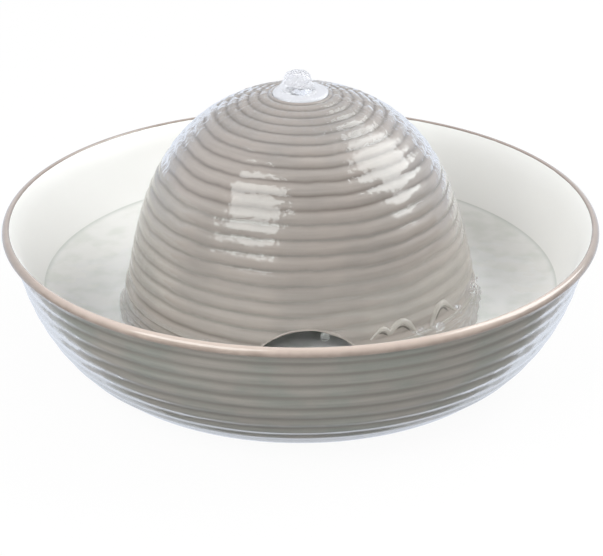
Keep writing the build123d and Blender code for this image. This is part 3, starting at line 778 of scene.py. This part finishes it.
# ---------------------------------------------------------------- bowl
def throw_bowl(material):
    """Bowl of one closed skin: underside, foot, ribbed side, rolled lip, inside and floor."""
    foot = ring(FOOT_RADIUS, BOWL_FOOT)
    side_top = ring(RIM - LIP_OVERHANG, LIP_BOTTOM)
    lip_crest = ring(RIM - LIP_CREST_INSET, BOWL_TOP)
    lip_widest = ring(RIM, BOWL_TOP - LIP_WIDEST_DROP)
    lip_outside = ring(RIM - LIP_OVERHANG / 2, LIP_BOTTOM)
    ware = Turning(
        "bowl_ware", Around=288, Rib_units=BOWL_RIB_UNITS, Rib_depth=BOWL_RIB_DEPTH, Softness=1.0,
        Foot_share=BOWL_FOOT_SHARE, Unevenness=0.25, Foot=foot, Side_top=side_top,
        Lip_outside=lip_outside, Lip_widest=lip_widest, Lip_crest=lip_crest, Lip_inside=lip_inside,
        Floor_edge=BOWL_INSIDE[0],
    )
    foot_handle = ring(FOOT_RADIUS + BOWL_FOOT_HANDLE[0], BOWL_FOOT + BOWL_FOOT_HANDLE[1])
    side_handle = ring(side_top[0] - BOWL_LIP_HANDLE[0], side_top[2] - BOWL_LIP_HANDLE[1])
    side = ["Foot", foot_handle, side_handle, "Side top"]
    sink = bowl_ribs(ware)
    lean_out, lean_up = side_top[0] - side_handle[0], side_top[2] - side_handle[2]
    ledge_step = BOWL_RIB_DEPTH / hypot(lean_out, lean_up)
    ledge = ring(side_top[0] - ledge_step * lean_up, side_top[2] + ledge_step * lean_out)
    under_widest = (LIP_HEIGHT - LIP_WIDEST_DROP) * ROUND
    pull = LIP_CREST_INSET * ROUND
    recess_top = BOWL_FOOT + RECESS_DEPTH
    recess_edge = ring(RECESS_RADIUS, BOWL_FOOT)
    recess_corner = ring(RECESS_RADIUS - RECESS_DEPTH, recess_top)
    underside = (
        (ring(0.0, recess_top), recess_corner, 4), (recess_corner, recess_edge, 2),
        (recess_edge, foot, 6),
    )
    roll_lean = INSIDE_LEAN * LIP_INSIDE_ROLL / INSIDE_DROP
    roll = ring(lip_inside[0] + roll_lean, lip_inside[2] + LIP_INSIDE_ROLL)
    patches = [
        *[ware.wall(straight(start, end), rows, marks={"bare": 1.0}) for start, end, rows in underside],
        ware.wall(
            side, 104, lambda at: sink(at) * ware.size("Rib depth"),
            {"valley_shade": sink, "bare": lambda at: falling(at.share, 0.0, 0.03)},
        ),
        # painted shadow under the lip: the ledge beneath it is marked as a valley at 0.8, so it is
        # painted dark
        ware.wall(straight(ledge, lip_outside), 4, marks={"valley_shade": 0.8}),
        # painted light on the lip: its mark rises up the outside to the crest and falls away inside
        ware.wall(
            ["Lip outside", ring(lip_outside[0] + LIP_OVERHANG / 2 * ROUND, LIP_BOTTOM),
             ring(RIM, lip_widest[2] - under_widest), "Lip widest"], 8,
            marks={"thin": lambda at: band(at.share, 0.1, 0.5), "lip_light": lambda at: at.share * 0.25},
        ),
        ware.wall(
            ["Lip widest", ring(RIM, lip_widest[2] + LIP_WIDEST_DROP * ROUND),
             ring(lip_crest[0] + pull, BOWL_TOP), "Lip crest"], 12,
            marks={"thin": 1.0, "lip_light": lambda at: at.share * 0.75 + 0.25},
        ),
        ware.wall(
            ["Lip crest", ring(lip_crest[0] - pull, BOWL_TOP), roll, "Lip inside"], 24,
            marks={"thin": 1.0, "lip_light": lambda at: band(at.share, 0.0, 0.12, 1.0, 0.3),
                   "white": lambda at: band(at.share, 0.07, 0.15)},
        ),
        ware.wall(
            ["Lip inside", BOWL_INSIDE[2], BOWL_INSIDE[1], "Floor edge"], 40, marks={"white": 1.0}
        ),
        ware.wall(straight(BOWL_INSIDE[0], ring(0.0, FLOOR_TOP)), 10, marks={"white": 1.0}),
    ]
    return ware.fire(ware.join(*patches), material, "base", "bowl_glaze", "bowl")


# ---------------------------------------------------------------- dome
def dome_profile(wall, top):
    """Four points of the dome's side, moved inward by a wall."""
    return [
        ring(DOME_FOOT - wall, FLOOR_TOP),
        ring(DOME_FOOT - DOME_FOOT_HANDLE[0] - wall, FLOOR_TOP + DOME_FOOT_HANDLE[1]),
        ring(DOME_FOOT - DOME_CROWN_HANDLE[0] - wall, top - DOME_CROWN_HANDLE[1]),
        ring(CROWN_RADIUS, top),
    ]


DOME_SIDE = dome_profile(0.0, DOME_CROWN)


def throw_dome(material):
    """Dome of one closed skin with its crown seat, nozzle hole and both notches."""
    foot, foot_handle, crown_handle, crown = DOME_SIDE
    inner = dome_profile(DOME_WALL, DOME_INNER)
    ware = Turning(
        "dome_ware", Around=240, **DOME_RIBS, Notch_half_width=NOTCH_HALF_WIDTH,
        Notch_height=NOTCH_HEIGHT, Cable_notch_half_width=CABLE_NOTCH_HALF_WIDTH,
        Cable_notch_height=CABLE_NOTCH_HEIGHT,
        Foot=foot, Foot_handle=foot_handle, Crown_handle=crown_handle, Crown=crown,
    )
    sink = dome_ribs(ware)
    slope = hypot(crown[0] - crown_handle[0], crown[2] - crown_handle[2])
    crown_drop = DOME_RIB_DEPTH * (crown_handle[0] - crown[0]) / slope
    lean = hypot(foot_handle[0] - foot[0], foot_handle[2] - foot[2])
    foot_inset = DOME_RIB_DEPTH * (foot_handle[2] - foot[2]) / lean
    # down from the crown's edge round its seat and the nozzle's hole, to the inside
    neck = [
        ring(CROWN_RADIUS, DOME_CROWN - crown_drop), ring(CROWN_RADIUS, CROWN_SEAT),
        ring(CROWN_HOLE, CROWN_SEAT), ring(CROWN_HOLE, DOME_INNER), inner[3],
    ]
    patches = [
        ware.wall(straight(inner[0], ring(DOME_FOOT - foot_inset, FLOOR_TOP)), 4),
        ware.wall(
            ["Foot", "Foot handle", "Crown handle", "Crown"], 250,
            lambda at: sink(at) * ware.size("Rib depth"), {"valley_shade": sink},
            least_radius=CROWN_RADIUS, least_height=FLOOR_TOP,
        ),
        *[ware.wall(straight(start, end), 3) for start, end in zip(neck, neck[1:])],
        ware.wall(inner[::-1], 40, marks={"white": 1.0}),
    ]
    skin = ware.archway(ware.join(*patches), -1, "Notch half width", "Notch height")
    skin = ware.archway(skin, 1, "Cable notch half width", "Cable notch height")
    return ware.fire(skin, material, "dome", "greige_glaze", "dome", crease=50)


# ---------------------------------------------------------------- lines along the ware
def cubic(points, along):
    """Point of a cubic profile at a share of its parameter."""
    rest = 1.0 - along
    weights = (rest ** 3, 3 * rest ** 2 * along, 3 * rest * along ** 2, along ** 3)
    return tuple(sum(a * point[axis] for a, point in zip(weights, points)) for axis in range(3))


def share_below(points, height):
    """Share of an upward cubic profile's parameter that lies below a height."""
    low, high = 0.0, 1.0
    for _ in range(40):
        middle = (low + high) / 2
        if cubic(points, middle)[2] < height:
            low = middle
        else:
            high = middle
    return low


def first_part(points, height):
    """The part of an upward cubic profile below a height, as a cubic profile of its own."""
    share = share_below(points, height)
    kept, row = [points[0]], points
    while len(row) > 1:
        row = [part_way(start, end, share) for start, end in zip(row, row[1:])]
        kept.append(row[0])
    return kept


def dome_side(height):
    """Radius of the dome's outside at a height."""
    return cubic(DOME_SIDE, share_below(DOME_SIDE, height))[0]


def on_dome(angle, height, out):
    """Place on the dome's outside, or so far out from it."""
    radius = dome_side(height) + out
    return (radius * sin(radians(angle)), -radius * cos(radians(angle)), height)


def arch_path(half_width, height, side, sunk, lift):
    """Points up, over and down an arched notch on the dome's outside, lift outside its edge."""
    spring_line = FLOOR_TOP + height - half_width
    reach = half_width + lift
    leg = [(reach, FLOOR_TOP + (spring_line - FLOOR_TOP) * step / 8) for step in range(8)]
    turns = [pi * step / 48 for step in range(49)]
    outline = [(-across, up) for across, up in leg]
    outline += [(-reach * cos(turn), spring_line + reach * sin(turn)) for turn in turns]
    outline += leg[::-1]
    path = []
    for across, up in outline:
        radius = dome_side(up) - sunk
        path.append((across, side * sqrt(radius ** 2 - across ** 2), up))
    return path


def sweep_bead(name, path, thickness, material, slot=None, kind="POLY", uneven=0.6, fade=0.0,
               sections=160):
    """Rounded bead of thick glaze or water swept along a path, with ends that may thin out."""
    line = bpy.data.curves.new(name, "CURVE")
    line.dimensions = "3D"
    run = line.splines.new(kind)
    run.points.add(len(path) - 1)
    for point, place in zip(run.points, path):
        point.co = (*place, 1.0)
    if kind == "NURBS":
        run.order_u = 4
        run.use_endpoint_u = True
    bead = Shaping(name, line, Thickness=thickness, Unevenness=uneven, Thin_ends=fade)
    even = bead.lay("GeometryNodeResampleCurve", {"Curve": bead.given["Geometry"], "Count": sections})
    where = bead.lay("GeometryNodeInputPosition")
    rough = bead.lay("ShaderNodeTexNoise", {"Vector": where, "Scale": 90.0, "Detail": 0.0})
    along = bead.lay("GeometryNodeSplineParameter")
    from_end = maths("MINIMUM", along, 1.0 - along)
    ends = 1.0 - falling(from_end, 0.0, 0.3) * bead.size("Thin ends")
    girth = (rough - 0.5) * bead.size("Unevenness") * 2.0 + 1.0
    section = bead.lay(
        "GeometryNodeCurvePrimitiveCircle", {"Resolution": 14, "Radius": bead.size("Thickness")}
    )
    swept = bead.lay(
        "GeometryNodeCurveToMesh",
        {"Curve": even, "Profile Curve": section, "Fill Caps": True, "Scale": girth * ends},
    )
    return bead.fire(swept, material, "dome", slot)


# ---------------------------------------------------------------- water
def pool_water(material):
    """Water that fills the bowl, lumpy where it runs in, with its edge drawn up the wall."""
    shore = first_part(BOWL_INSIDE, WATER_LEVEL + EDGE_RISE)
    bed = [ring(point[0] + BEDDED, point[2] - BEDDED) for point in shore]
    water = Turning(
        "pool_water", Around=288, Swell=1.5 * MM, Run_in=0.4 * MM, Edge_rise=EDGE_RISE, Bed_edge=bed[0],
        Shore=bed[3],
    )
    dome_radius = dome_side(WATER_LEVEL)

    def from_middle(at):
        return (1.0 - at.share) * bed[3][0]

    def surface(at):
        radius = from_middle(at)
        swell = water.noise(at, radius * 38.0, 0.0, 5.0) * water.size("Swell")
        from_dome = radius - dome_radius
        near_dome = falling(from_dome, 2.0 * MM, 22.0 * MM)
        waves = maths("SINE", from_dome * (2 * pi / (9.0 * MM)))
        lumps = water.noise(at, radius * 110.0, 0.0, 6.0) * 1.6 + waves * 0.25
        run_in = near_dome * lumps * water.size("Run in")
        calm = band(at.share, 0.0, 0.05)
        edge = falling(at.share, 0.0, 0.022) * water.size("Edge rise")
        return water.size("Edge rise") - edge - (swell + run_in) * calm

    # the shore mark is where the painted shade at the water's edge goes
    marks = {
        "churned": lambda at: falling(from_middle(at), dome_radius - DOME_WALL, dome_radius),
        "shore": lambda at: falling(at.share, 0.008, 0.02),
    }
    patches = [
        water.wall(straight(ring(0.0, bed[0][2]), bed[0]), 6),
        water.wall(["Bed edge", bed[1], bed[2], "Shore"], 24),
        water.wall(straight(bed[3], ring(0.0, bed[3][2])), 130, surface, marks),
    ]
    return water.fire(water.join(*patches), material, "base")


def sheet_on_dome(sheet, along, span, fades, depth):
    """Sheet of water on the dome, by how deep its face lies, with its back inside the ware.

    fades are the shares over which its lower and its upper end sink to the back.
    """
    low, high = span

    def face(at):
        ends = band(at.share, low, low + fades[0]) * falling(at.share, high - fades[1], high)
        return (depth(at) - SHEET_BACK) * ends + SHEET_BACK

    front = sheet.wall(DOME_SIDE, along, face, span=span)
    return sheet.join(front, sheet.wall(DOME_SIDE, 2, lambda at: SHEET_BACK, span=(high, low)))


def running_water(material):
    """Sheet of water down the dome's lower side, with dry patches where it parts."""
    sheet = Turning(
        "running_water", Around=600, **DOME_RIBS, Film=0.45 * MM, Streaks=0.5 * MM, Skirt=0.6 * MM
    )
    sink = dome_ribs(sheet)

    def depth(at):
        right = band(maths("COSINE", at.angle - radians(66.0)), 0.55, 0.9)
        left = band(maths("COSINE", at.angle + radians(82.0)), 0.75, 0.97)
        streaks, wrinkles = sheet.noise(at, 9.0, 14.0, 8.0), sheet.noise(at, 30.0, 60.0, 9.0)
        lower = falling(at.height, 48.0 * MM, 78.0 * MM)
        film = (streaks + 0.55) * sheet.size("Streaks") + wrinkles * (0.3 * MM) + sheet.size("Film")
        film = (right * lower + left * 0.5) * film - 0.25 * MM
        skirt = falling(at.height, WATER_LEVEL, WATER_LEVEL + 7.0 * MM)
        lumps = larger(wrinkles * 3.0 + 0.2, 0.0)
        film = film + skirt * right * lumps * sheet.size("Skirt")
        return sink(at) * sheet.size("Rib depth") * 0.55 - film

    skin = sheet_on_dome(sheet, 130, (0.236, 0.62), (0.006, 0.04), depth)
    skin = sheet.archway(skin, -1, NOTCH_HALF_WIDTH + 0.2 * MM, NOTCH_HEIGHT + 0.2 * MM)
    return sheet.fire(skin, material, "dome", crease=60)


def crown_water(material):
    """Sheet of water that fans out from the nozzle over the crown in streaks."""
    sheet = Turning("crown_water", Around=360, **DOME_RIBS, Film=0.3 * MM, Streaks=0.9 * MM)
    sink = dome_ribs(sheet)
    low, high = 0.7, 0.992

    def depth(at):
        fan, fine = sheet.noise(at, 8.0, 40.0, 17.0), sheet.noise(at, 22.0, 120.0, 18.0, 1.0)
        film = fan * sheet.size("Streaks") + fine * (0.35 * MM) + sheet.size("Film")
        film = film * band(at.share, low, low + 0.16)
        return sink(at) * sheet.size("Rib depth") * 0.75 - film + BEDDED

    skin = sheet_on_dome(sheet, 90, (low, high), (0.02, 0.01), depth)
    return sheet.fire(skin, material, "dome", crease=60)


def spring_water(material):
    """Lump of water pushed up through the nozzle, and the thin sheet that runs off its disc."""
    top = NOZZLE_TOP + SPRING_HEIGHT
    waist = ring(SPRING_RADIUS * 0.9, NOZZLE_TOP + SPRING_HEIGHT * 0.45)
    foot = ring(SPRING_RADIUS * 1.15, NOZZLE_TOP + 0.7 * MM)
    brim = ring(NOZZLE_RADIUS + 0.2 * MM, NOZZLE_TOP - 1.4 * MM)
    under = ring(NOZZLE_RADIUS - 1.0 * MM, NOZZLE_TOP - 1.8 * MM)
    spring = Turning(
        "spring_water", Around=160, Lumps=3.2 * MM, Bubbles=1.5 * MM, Lean=2.6 * MM,
        Waist=waist, Foot=foot, Brim=brim,
    )

    def lumps(at):
        rough = spring.noise(at, 1.1, 190.0, 14.0, 1.0) * spring.size("Lumps")
        rough = rough + spring.noise(at, 2.6, 420.0, 15.0) * spring.size("Bubbles")
        return rough + maths("SINE", at.angle) * spring.size("Lean") * 0.5

    def waves(at):
        ripple = spring.noise(at, at.share * 2.2, 0.0, 16.0)
        ends = band(at.share, 0.0, 0.12) * falling(at.share, 0.85, 1.0)
        return ripple * ends * (1.4 * MM)

    patches = [
        spring.wall(straight(ring(0.0, under[2]), under), 3),
        spring.wall(straight(under, brim), 2),
        spring.wall(
            ["Brim", ring(NOZZLE_RADIUS + 0.2 * MM, NOZZLE_TOP + 0.2 * MM),
             ring(NOZZLE_RADIUS - 1.0 * MM, NOZZLE_TOP + 0.5 * MM), "Foot"], 26, waves,
        ),
        spring.wall(
            ["Foot", ring(foot[0], waist[2] - 2.0 * MM), ring(waist[0], waist[2] - 1.5 * MM), "Waist"],
            20, lambda at: lumps(at) * band(at.share, 0.0, 0.3),
        ),
        spring.wall(
            ["Waist", ring(waist[0], waist[2] + SPRING_HEIGHT * 0.3), ring(waist[0] * 0.4, top),
             ring(0.0, top)], 30, lambda at: lumps(at) * band(1.0 - at.share, 0.0, 0.75),
        ),
    ]
    return spring.fire(spring.join(*patches), material, "nozzle")


def hanging_drop(material):
    """Drop that hangs from the notch's upper edge."""
    across = dome_side(DROP_HEIGHT) * sin(radians(DROP_ANGLE))
    form = bmesh.new()
    bmesh.ops.create_uvsphere(form, u_segments=32, v_segments=20, radius=DROP_RADIUS)
    for corner in form.verts:
        up = corner.co.z / DROP_RADIUS
        if up > 0:
            taper = 1.0 - 0.35 * up ** 2
            corner.co = (corner.co.x * taper, corner.co.y * taper, corner.co.z * 1.35)
    back = sqrt(dome_side(DROP_HEIGHT) ** 2 - across ** 2)
    form.transform(Matrix.Translation((across, 1.6 * MM - back, DROP_HEIGHT)))
    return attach(cast("hanging_drop", form, material), "dome")


def splashes(material):
    """Droplets and bubbles thrown up where the sheet runs into the pool."""
    spray = Turning("splashes", Droplet=0.5 * MM, Spread=3.0 * MM)
    ball = {"Radius": spray.size("Droplet"), "Subdivisions": 3}
    droplet = spray.lay("GeometryNodeMeshIcoSphere", ball)
    clusters = []
    for place, (angle, height, count, largest) in enumerate(SPLASHES):
        middle = on_dome(angle, height * MM, 0.6 * MM)
        inputs = {"Count": count, "Start Location": middle, "Offset": (0.0, 0.0, 0.0)}
        line = spray.lay("GeometryNodeMeshLine", inputs)
        limits = {0: (-1.0, -1.0, -0.6), 1: (1.0, 1.0, 0.8), "Seed": place}
        across = spray.lay("FunctionNodeRandomValue", limits, data_type="FLOAT_VECTOR")
        offset = spray.lay(
            "ShaderNodeVectorMath", {0: across, "Scale": spray.size("Spread")}, operation="SCALE"
        )
        spread = spray.lay("GeometryNodeSetPosition", {"Geometry": line, "Offset": offset})
        limits = {2: 0.5, 3: 2.0 * largest, "Seed": 77 + place}
        sizes = lay(spray.tree, "FunctionNodeRandomValue", limits, data_type="FLOAT")[1]
        inputs = {"Points": spread, "Instance": droplet, "Scale": sizes}
        clusters.append(spray.lay("GeometryNodeInstanceOnPoints", inputs))
    return spray.fire(spray.join(*clusters, weld=0.0), material, "base")


# ---------------------------------------------------------------- nozzle and pump
def turn_nozzle(material):
    """Outlet nozzle with a crowned disc whose edge is rounded, and a waisted throat."""
    foot, disc_bottom = nozzle_low.z, NOZZLE_TOP - 3.0 * MM
    stem, bore, throat = 9.3 * MM, 8.1 * MM, 5.5 * MM
    rim = ring(NOZZLE_RADIUS, NOZZLE_TOP - 1.3 * MM)
    crown = ring(NOZZLE_RADIUS - 1.6 * MM, NOZZLE_TOP - 0.25 * MM)
    brow = ring(throat + 1.4 * MM, NOZZLE_TOP)
    mouth = ring(throat, NOZZLE_TOP - 1.2 * MM)
    nozzle = Turning("outlet_nozzle_body", Around=120, Rim=rim, Crown=crown, Brow=brow, Mouth=mouth)
    stem_and_disc = [
        ring(bore, foot), ring(stem, foot), ring(stem, disc_bottom),
        ring(NOZZLE_RADIUS - 0.4 * MM, disc_bottom), ring(NOZZLE_RADIUS, disc_bottom + 0.4 * MM), rim,
    ]
    inside = [mouth, ring(throat, disc_bottom), ring(bore, disc_bottom - 4.0 * MM), ring(bore, foot)]
    profile = [
        *map(straight, stem_and_disc, stem_and_disc[1:]),
        ["Rim", ring(rim[0], rim[2] + 0.6 * MM), ring(crown[0] + 0.9 * MM, crown[2] - 0.1 * MM),
         "Crown"],
        straight(crown, brow),
        ["Brow", ring(brow[0] - 0.8 * MM, NOZZLE_TOP), ring(throat, mouth[2] + 0.7 * MM), "Mouth"],
        *map(straight, inside, inside[1:]),
    ]
    skin = nozzle.join(*[nozzle.wall(points, 6) for points in profile])
    return nozzle.fire(skin, material, "nozzle", "pale_plastic", "outlet_nozzle", crease=40)


def soften(node, width, material, body, slot):
    """Moulded copy of a CAD solid with its sharp edges rounded."""
    form = bmesh.new()
    form.from_mesh(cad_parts[node].data)
    bmesh.ops.remove_doubles(form, verts=form.verts, dist=0.01 * MM)
    bmesh.ops.dissolve_limit(form, angle_limit=radians(2), verts=form.verts, edges=form.edges)
    piece = cast(node + "_moulding", form, material)
    round_off = piece.modifiers.new("rounded_edges", "BEVEL")
    round_off.width = width
    round_off.segments = 3
    round_off.limit_method = "ANGLE"
    round_off.angle_limit = radians(50)
    round_off.harden_normals = True
    return settle(piece, body, slot, node, crease=50)


def cut_sponge(material):
    """Block of open foam with a torn, porous face."""
    low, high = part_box("filter_sponge")
    middle, half = (low + high) / 2, (high - low) / 2
    form = bmesh.new()
    bmesh.ops.create_cube(form, size=2.0)
    bmesh.ops.subdivide_edges(form, edges=form.edges, cuts=34, use_grid_fill=True)
    for corner in form.verts:
        place = corner.co.copy()
        corner.co = [middle[axis] + place[axis] * half[axis] for axis in range(3)]
        pore = noise.noise(place * 9.0) * 0.5 + noise.noise(place * 23.0) * 0.5
        inward = (middle - corner.co).normalized()
        corner.co += inward * (0.45 + 0.45 * pore) * MM
    piece = cast("sponge_block", form, material)
    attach(piece, "strainer")
    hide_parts("filter_sponge")
    return piece


def dress(material, *nodes):
    """Gives CAD nodes a finish."""
    for node in nodes:
        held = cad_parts[node].data.materials
        for place in range(len(held)):
            held[place] = material
        if not len(held):
            held.append(material)


# ---------------------------------------------------------------- studio
def stand_lamp(name, azimuth, elevation, distance, size, power):
    """One rectangular area lamp aimed at the dome."""
    lamp = bpy.data.lights.new(name, "AREA")
    lamp.shape = "RECTANGLE"
    lamp.size, lamp.size_y = size
    lamp.energy = power
    holder = stand(name, lamp)
    turn, tilt = radians(azimuth), radians(elevation)
    away = Vector((sin(turn) * cos(tilt), -cos(turn) * cos(tilt), sin(tilt)))
    holder.location = away * distance + Vector((0.0, 0.0, AIMED_HEIGHT))
    holder.rotation_euler = away.to_track_quat("Z", "Y").to_euler()
    holder.visible_camera = False
    return holder


def softbox(name, azimuth, elevation, size, power, shine):
    """Rectangular lamp aimed at the dome, and the card that glossy surfaces see in its place.

    The azimuth runs from the front to the right, and shine is the card's brightness.
    """
    lamp = stand_lamp(name, azimuth, elevation, LAMP_DISTANCE, size, power)
    lamp.visible_glossy = lamp.visible_transmission = False
    card_power = shine * pi * size[0] * size[1]
    card = stand_lamp(name + "_card", azimuth, elevation, LAMP_DISTANCE - 0.03, size, card_power)
    card.visible_diffuse = False
    card.data.color = (0.95, 1.0, 0.99)


def studio_floor():
    """Pale floor that stays white to the camera but keeps a soft shadow."""
    finish = Finish("studio_floor", Roughness=0.9, Specular_IOR_Level=0.0)
    finish.set(Base_Color=finish.mottled(3.0, 0.0, (246, 246, 246), (250, 250, 250)))
    path = lay(finish.tree, "ShaderNodeLightPath")
    seen = larger(path["Is Camera Ray"], path["Is Transmission Ray"])
    finish.cover(seen * 0.95, "ShaderNodeEmission", Strength=1.0)
    form = bmesh.new()
    bmesh.ops.create_circle(form, cap_ends=True, radius=6.0, segments=64)
    floor = cast("studio_floor", form, finish.material)
    floor.visible_glossy = False


def studio_air():
    """White surroundings, dimmer as light, and in shine and glass darker on the front's side."""
    world = bpy.data.worlds.new("studio_air")
    world.use_nodes = True
    bpy.context.scene.world = world
    tree = world.node_tree
    path = lay(tree, "ShaderNodeLightPath")
    mirrored = larger(path["Is Glossy Ray"], path["Is Transmission Ray"])
    toward = apart(lay(tree, "ShaderNodeTexCoord")["Generated"])
    low_down = falling(toward[2], 0.0, 0.3)
    backdrop = band(toward[1], low_down * 0.75 - 0.45, low_down * 0.33 + 0.15, FRONT_ROOM, 1.0)
    seen = larger(path["Is Camera Ray"], mirrored * backdrop)
    tint = lay(tree, "ShaderNodeMix", {0: mirrored, 6: WHITE, 7: MIRRORED_ROOM}, data_type="RGBA")[2]
    back = tree.nodes["Background"]
    plug(back.inputs["Color"], tint)
    plug(back.inputs["Strength"], larger(seen, (1.0 - mirrored) * AIR_LIGHT))


def stand_camera():
    """Camera at the height and tilt of someone standing at a table."""
    lens = bpy.data.cameras.new("camera")
    lens.sensor_width = 36.0
    lens.lens = LENS
    camera = stand("camera", lens)
    camera.location = CAMERA_PLACE
    camera.location.rotate(Matrix.Rotation(radians(-TURNED), 3, "Z"))
    camera.rotation_euler = (radians(90 - CAMERA_TILT), 0.0, radians(-TURNED))
    bpy.context.scene.camera = camera


bpy.context.scene.view_settings.view_transform = "Standard"
softbox("right_softbox", 107 - TURNED, elevation=40, size=(1.05, 0.95), power=10.4, shine=4.2)
softbox("left_softbox", -42 - TURNED, elevation=38, size=(0.96, 0.8), power=9.1, shine=4.0)
studio_floor()
studio_air()
stand_camera()

# ---------------------------------------------------------------- making
greige = dome_finish()
throw_bowl(bowl_finish())
throw_dome(greige)
beads = bead_finish()
front_arch = arch_path(NOTCH_HALF_WIDTH, NOTCH_HEIGHT, -1, sunk=0.5 * MM, lift=0.1 * MM)
rear_arch = arch_path(CABLE_NOTCH_HALF_WIDTH, CABLE_NOTCH_HEIGHT, 1, sunk=0.55 * MM, lift=0.1 * MM)
sweep_bead("notch_bead", front_arch, 0.65 * MM, beads, "greige_glaze")
sweep_bead("cable_notch_bead", rear_arch, 0.75 * MM, beads, "greige_glaze")

pool_water(
    water_finish("pool_water", ((60.0, 2.2 * MM), (150.0, 0.35 * MM)), (255, 255, 255),
                 tint_and_mottled_shade=(233, 237, 232), churned=0.75, ripple_detail=0.5)
)
film_water = water_finish("film_water", ((420.0, 0.06 * MM),), (248, 250, 248), cloudy=0.06)
running_water(film_water)
crown_water(water_finish("crown_water", ((500.0, 0.1 * MM),), (250, 252, 253)))
# painted highlight: the ridges' water is milky and pale, standing in for the glints along the rims of
# the running water
painted_glint_water = water_finish("painted_glint_water", ((500.0, 0.15 * MM),), (204, 201, 194), cloudy=0.5)
# painted shadow: a dark moulded finish for the beads laid in the creases under the water's arches
painted_crease_shadow = moulded("painted_crease_shadow", (112, 106, 98), (96, 91, 84), 0.3, Coat_Weight=0.5)
for place, (ridge, arches) in enumerate(zip(RIDGES, RIDGE_ARCHES), 1):
    path = [on_dome(angle, height * MM, -0.35 * MM) for angle, height in ridge]
    sweep_bead(
        f"water_ridge_{place}", path, RIDGE_RADIUS, painted_glint_water, kind="NURBS", uneven=0.5, fade=0.6
    )
    # painted shadow: a dark bead in the crease under each arch, where shade falls, narrower and lower
    # than the ridge
    foot = min(height for _, height in ridge) - 1.0
    for arch, (low, high) in enumerate(arches, 1):
        middle = (low + high) / 2
        crease = [
            on_dome(middle + (angle - middle) * 0.66, (foot + (height - foot) * 0.84) * MM, -0.15 * MM)
            for angle, height in ridge if low <= angle <= high
        ]
        sweep_bead(
            f"ridge_{place}_crease_{arch}", crease, 0.55 * MM, painted_crease_shadow, kind="NURBS", uneven=0.4,
            fade=0.9,
        )
sweep_bead(
    "waterline_bead", [on_dome(angle, WATER_LEVEL, -0.5 * MM) for angle in range(18, 345, 3)],
    1.35 * MM, film_water, kind="NURBS", uneven=0.35, sections=500,
)
lively_water = water_finish(
    "spring_water", ((600.0, 0.35 * MM), (1600.0, 0.08 * MM)), (249, 249, 251), foam=0.06, cloudy=0.05
)
spring_water(lively_water)
hanging_drop(water_finish("drop_water", ((300.0, 0.1 * MM),), (250, 252, 250), cloudy=0.1))
splashes(lively_water)

pale_plastic = moulded(
    "pale_plastic", (214, 215, 219), (205, 207, 212), 0.32, Coat_Weight=0.6, Coat_Roughness=0.04
)
turn_nozzle(pale_plastic)
black_plastic = moulded("black_plastic", (44, 45, 48), (34, 35, 38), 0.42, depth=0.02 * MM)
soften("motor_housing", 0.5 * MM, black_plastic, "base", "black_plastic")
soften("rear_cover", 0.5 * MM, black_plastic, "base", "black_plastic")
soften("strainer_cover", 0.4 * MM, black_plastic, "strainer", "black_plastic")
dial_plastic = moulded("dial_plastic", (120, 146, 164), (106, 132, 152), 0.38)
soften("flow_dial", 0.3 * MM, dial_plastic, "dial", "dial_plastic")
cut_sponge(sponge_finish())
dress(black_plastic, "impeller_cover")
black_rubber = moulded("black_rubber", (36, 36, 37), (28, 28, 29), 0.7, 2400.0)
dress(black_rubber, "cable_gland", "rear_bush", "front_bush", "chamber_seal", "suction_cups")
clear_silicone = moulded(
    "clear_silicone", (226, 230, 231), (214, 219, 221), 0.4, Transmission_Weight=0.4, IOR=1.41
)
dress(clear_silicone, "foot_pads", "riser_hose")
dress(moulded("white_silicone", (226, 226, 223), (214, 214, 210), 0.5), "nozzle_grommet")
dress(moulded("bobbin_plastic", (222, 216, 196), (210, 202, 180), 0.45), "coil_bobbin")
dress(moulded("impeller_plastic", (224, 226, 228), (212, 215, 218), 0.4), "impeller")
laminated_steel = banded(
    "laminated_steel", (150, 153, 158), (128, 131, 136), 0.5 * MM, "Y", 0.05 * MM, Metallic=1.0,
    Roughness=0.38,
)
dress(laminated_steel, "stator_core")
copper_wire = banded(
    "copper_wire", (196, 112, 66), (170, 92, 52), 0.36 * MM, "Z", 0.12 * MM, Metallic=1.0,
    Roughness=0.28, Coat_Weight=0.7,
)
dress(copper_wire, "stator_winding")
dress(moulded("potting_epoxy", (48, 48, 52), (40, 40, 45), 0.18, 260.0, 0.05 * MM), "potting_resin")
shaft_ceramic = speckled("shaft_ceramic", (240, 238, 232), (224, 221, 213), 1400.0, 0.3, 0.004 * MM)
dress(shaft_ceramic, "rotor_shaft")
dress(speckled("ferrite", (70, 71, 75), (96, 97, 101), 1900.0, 0.55, 0.01 * MM), "rotor_magnet")
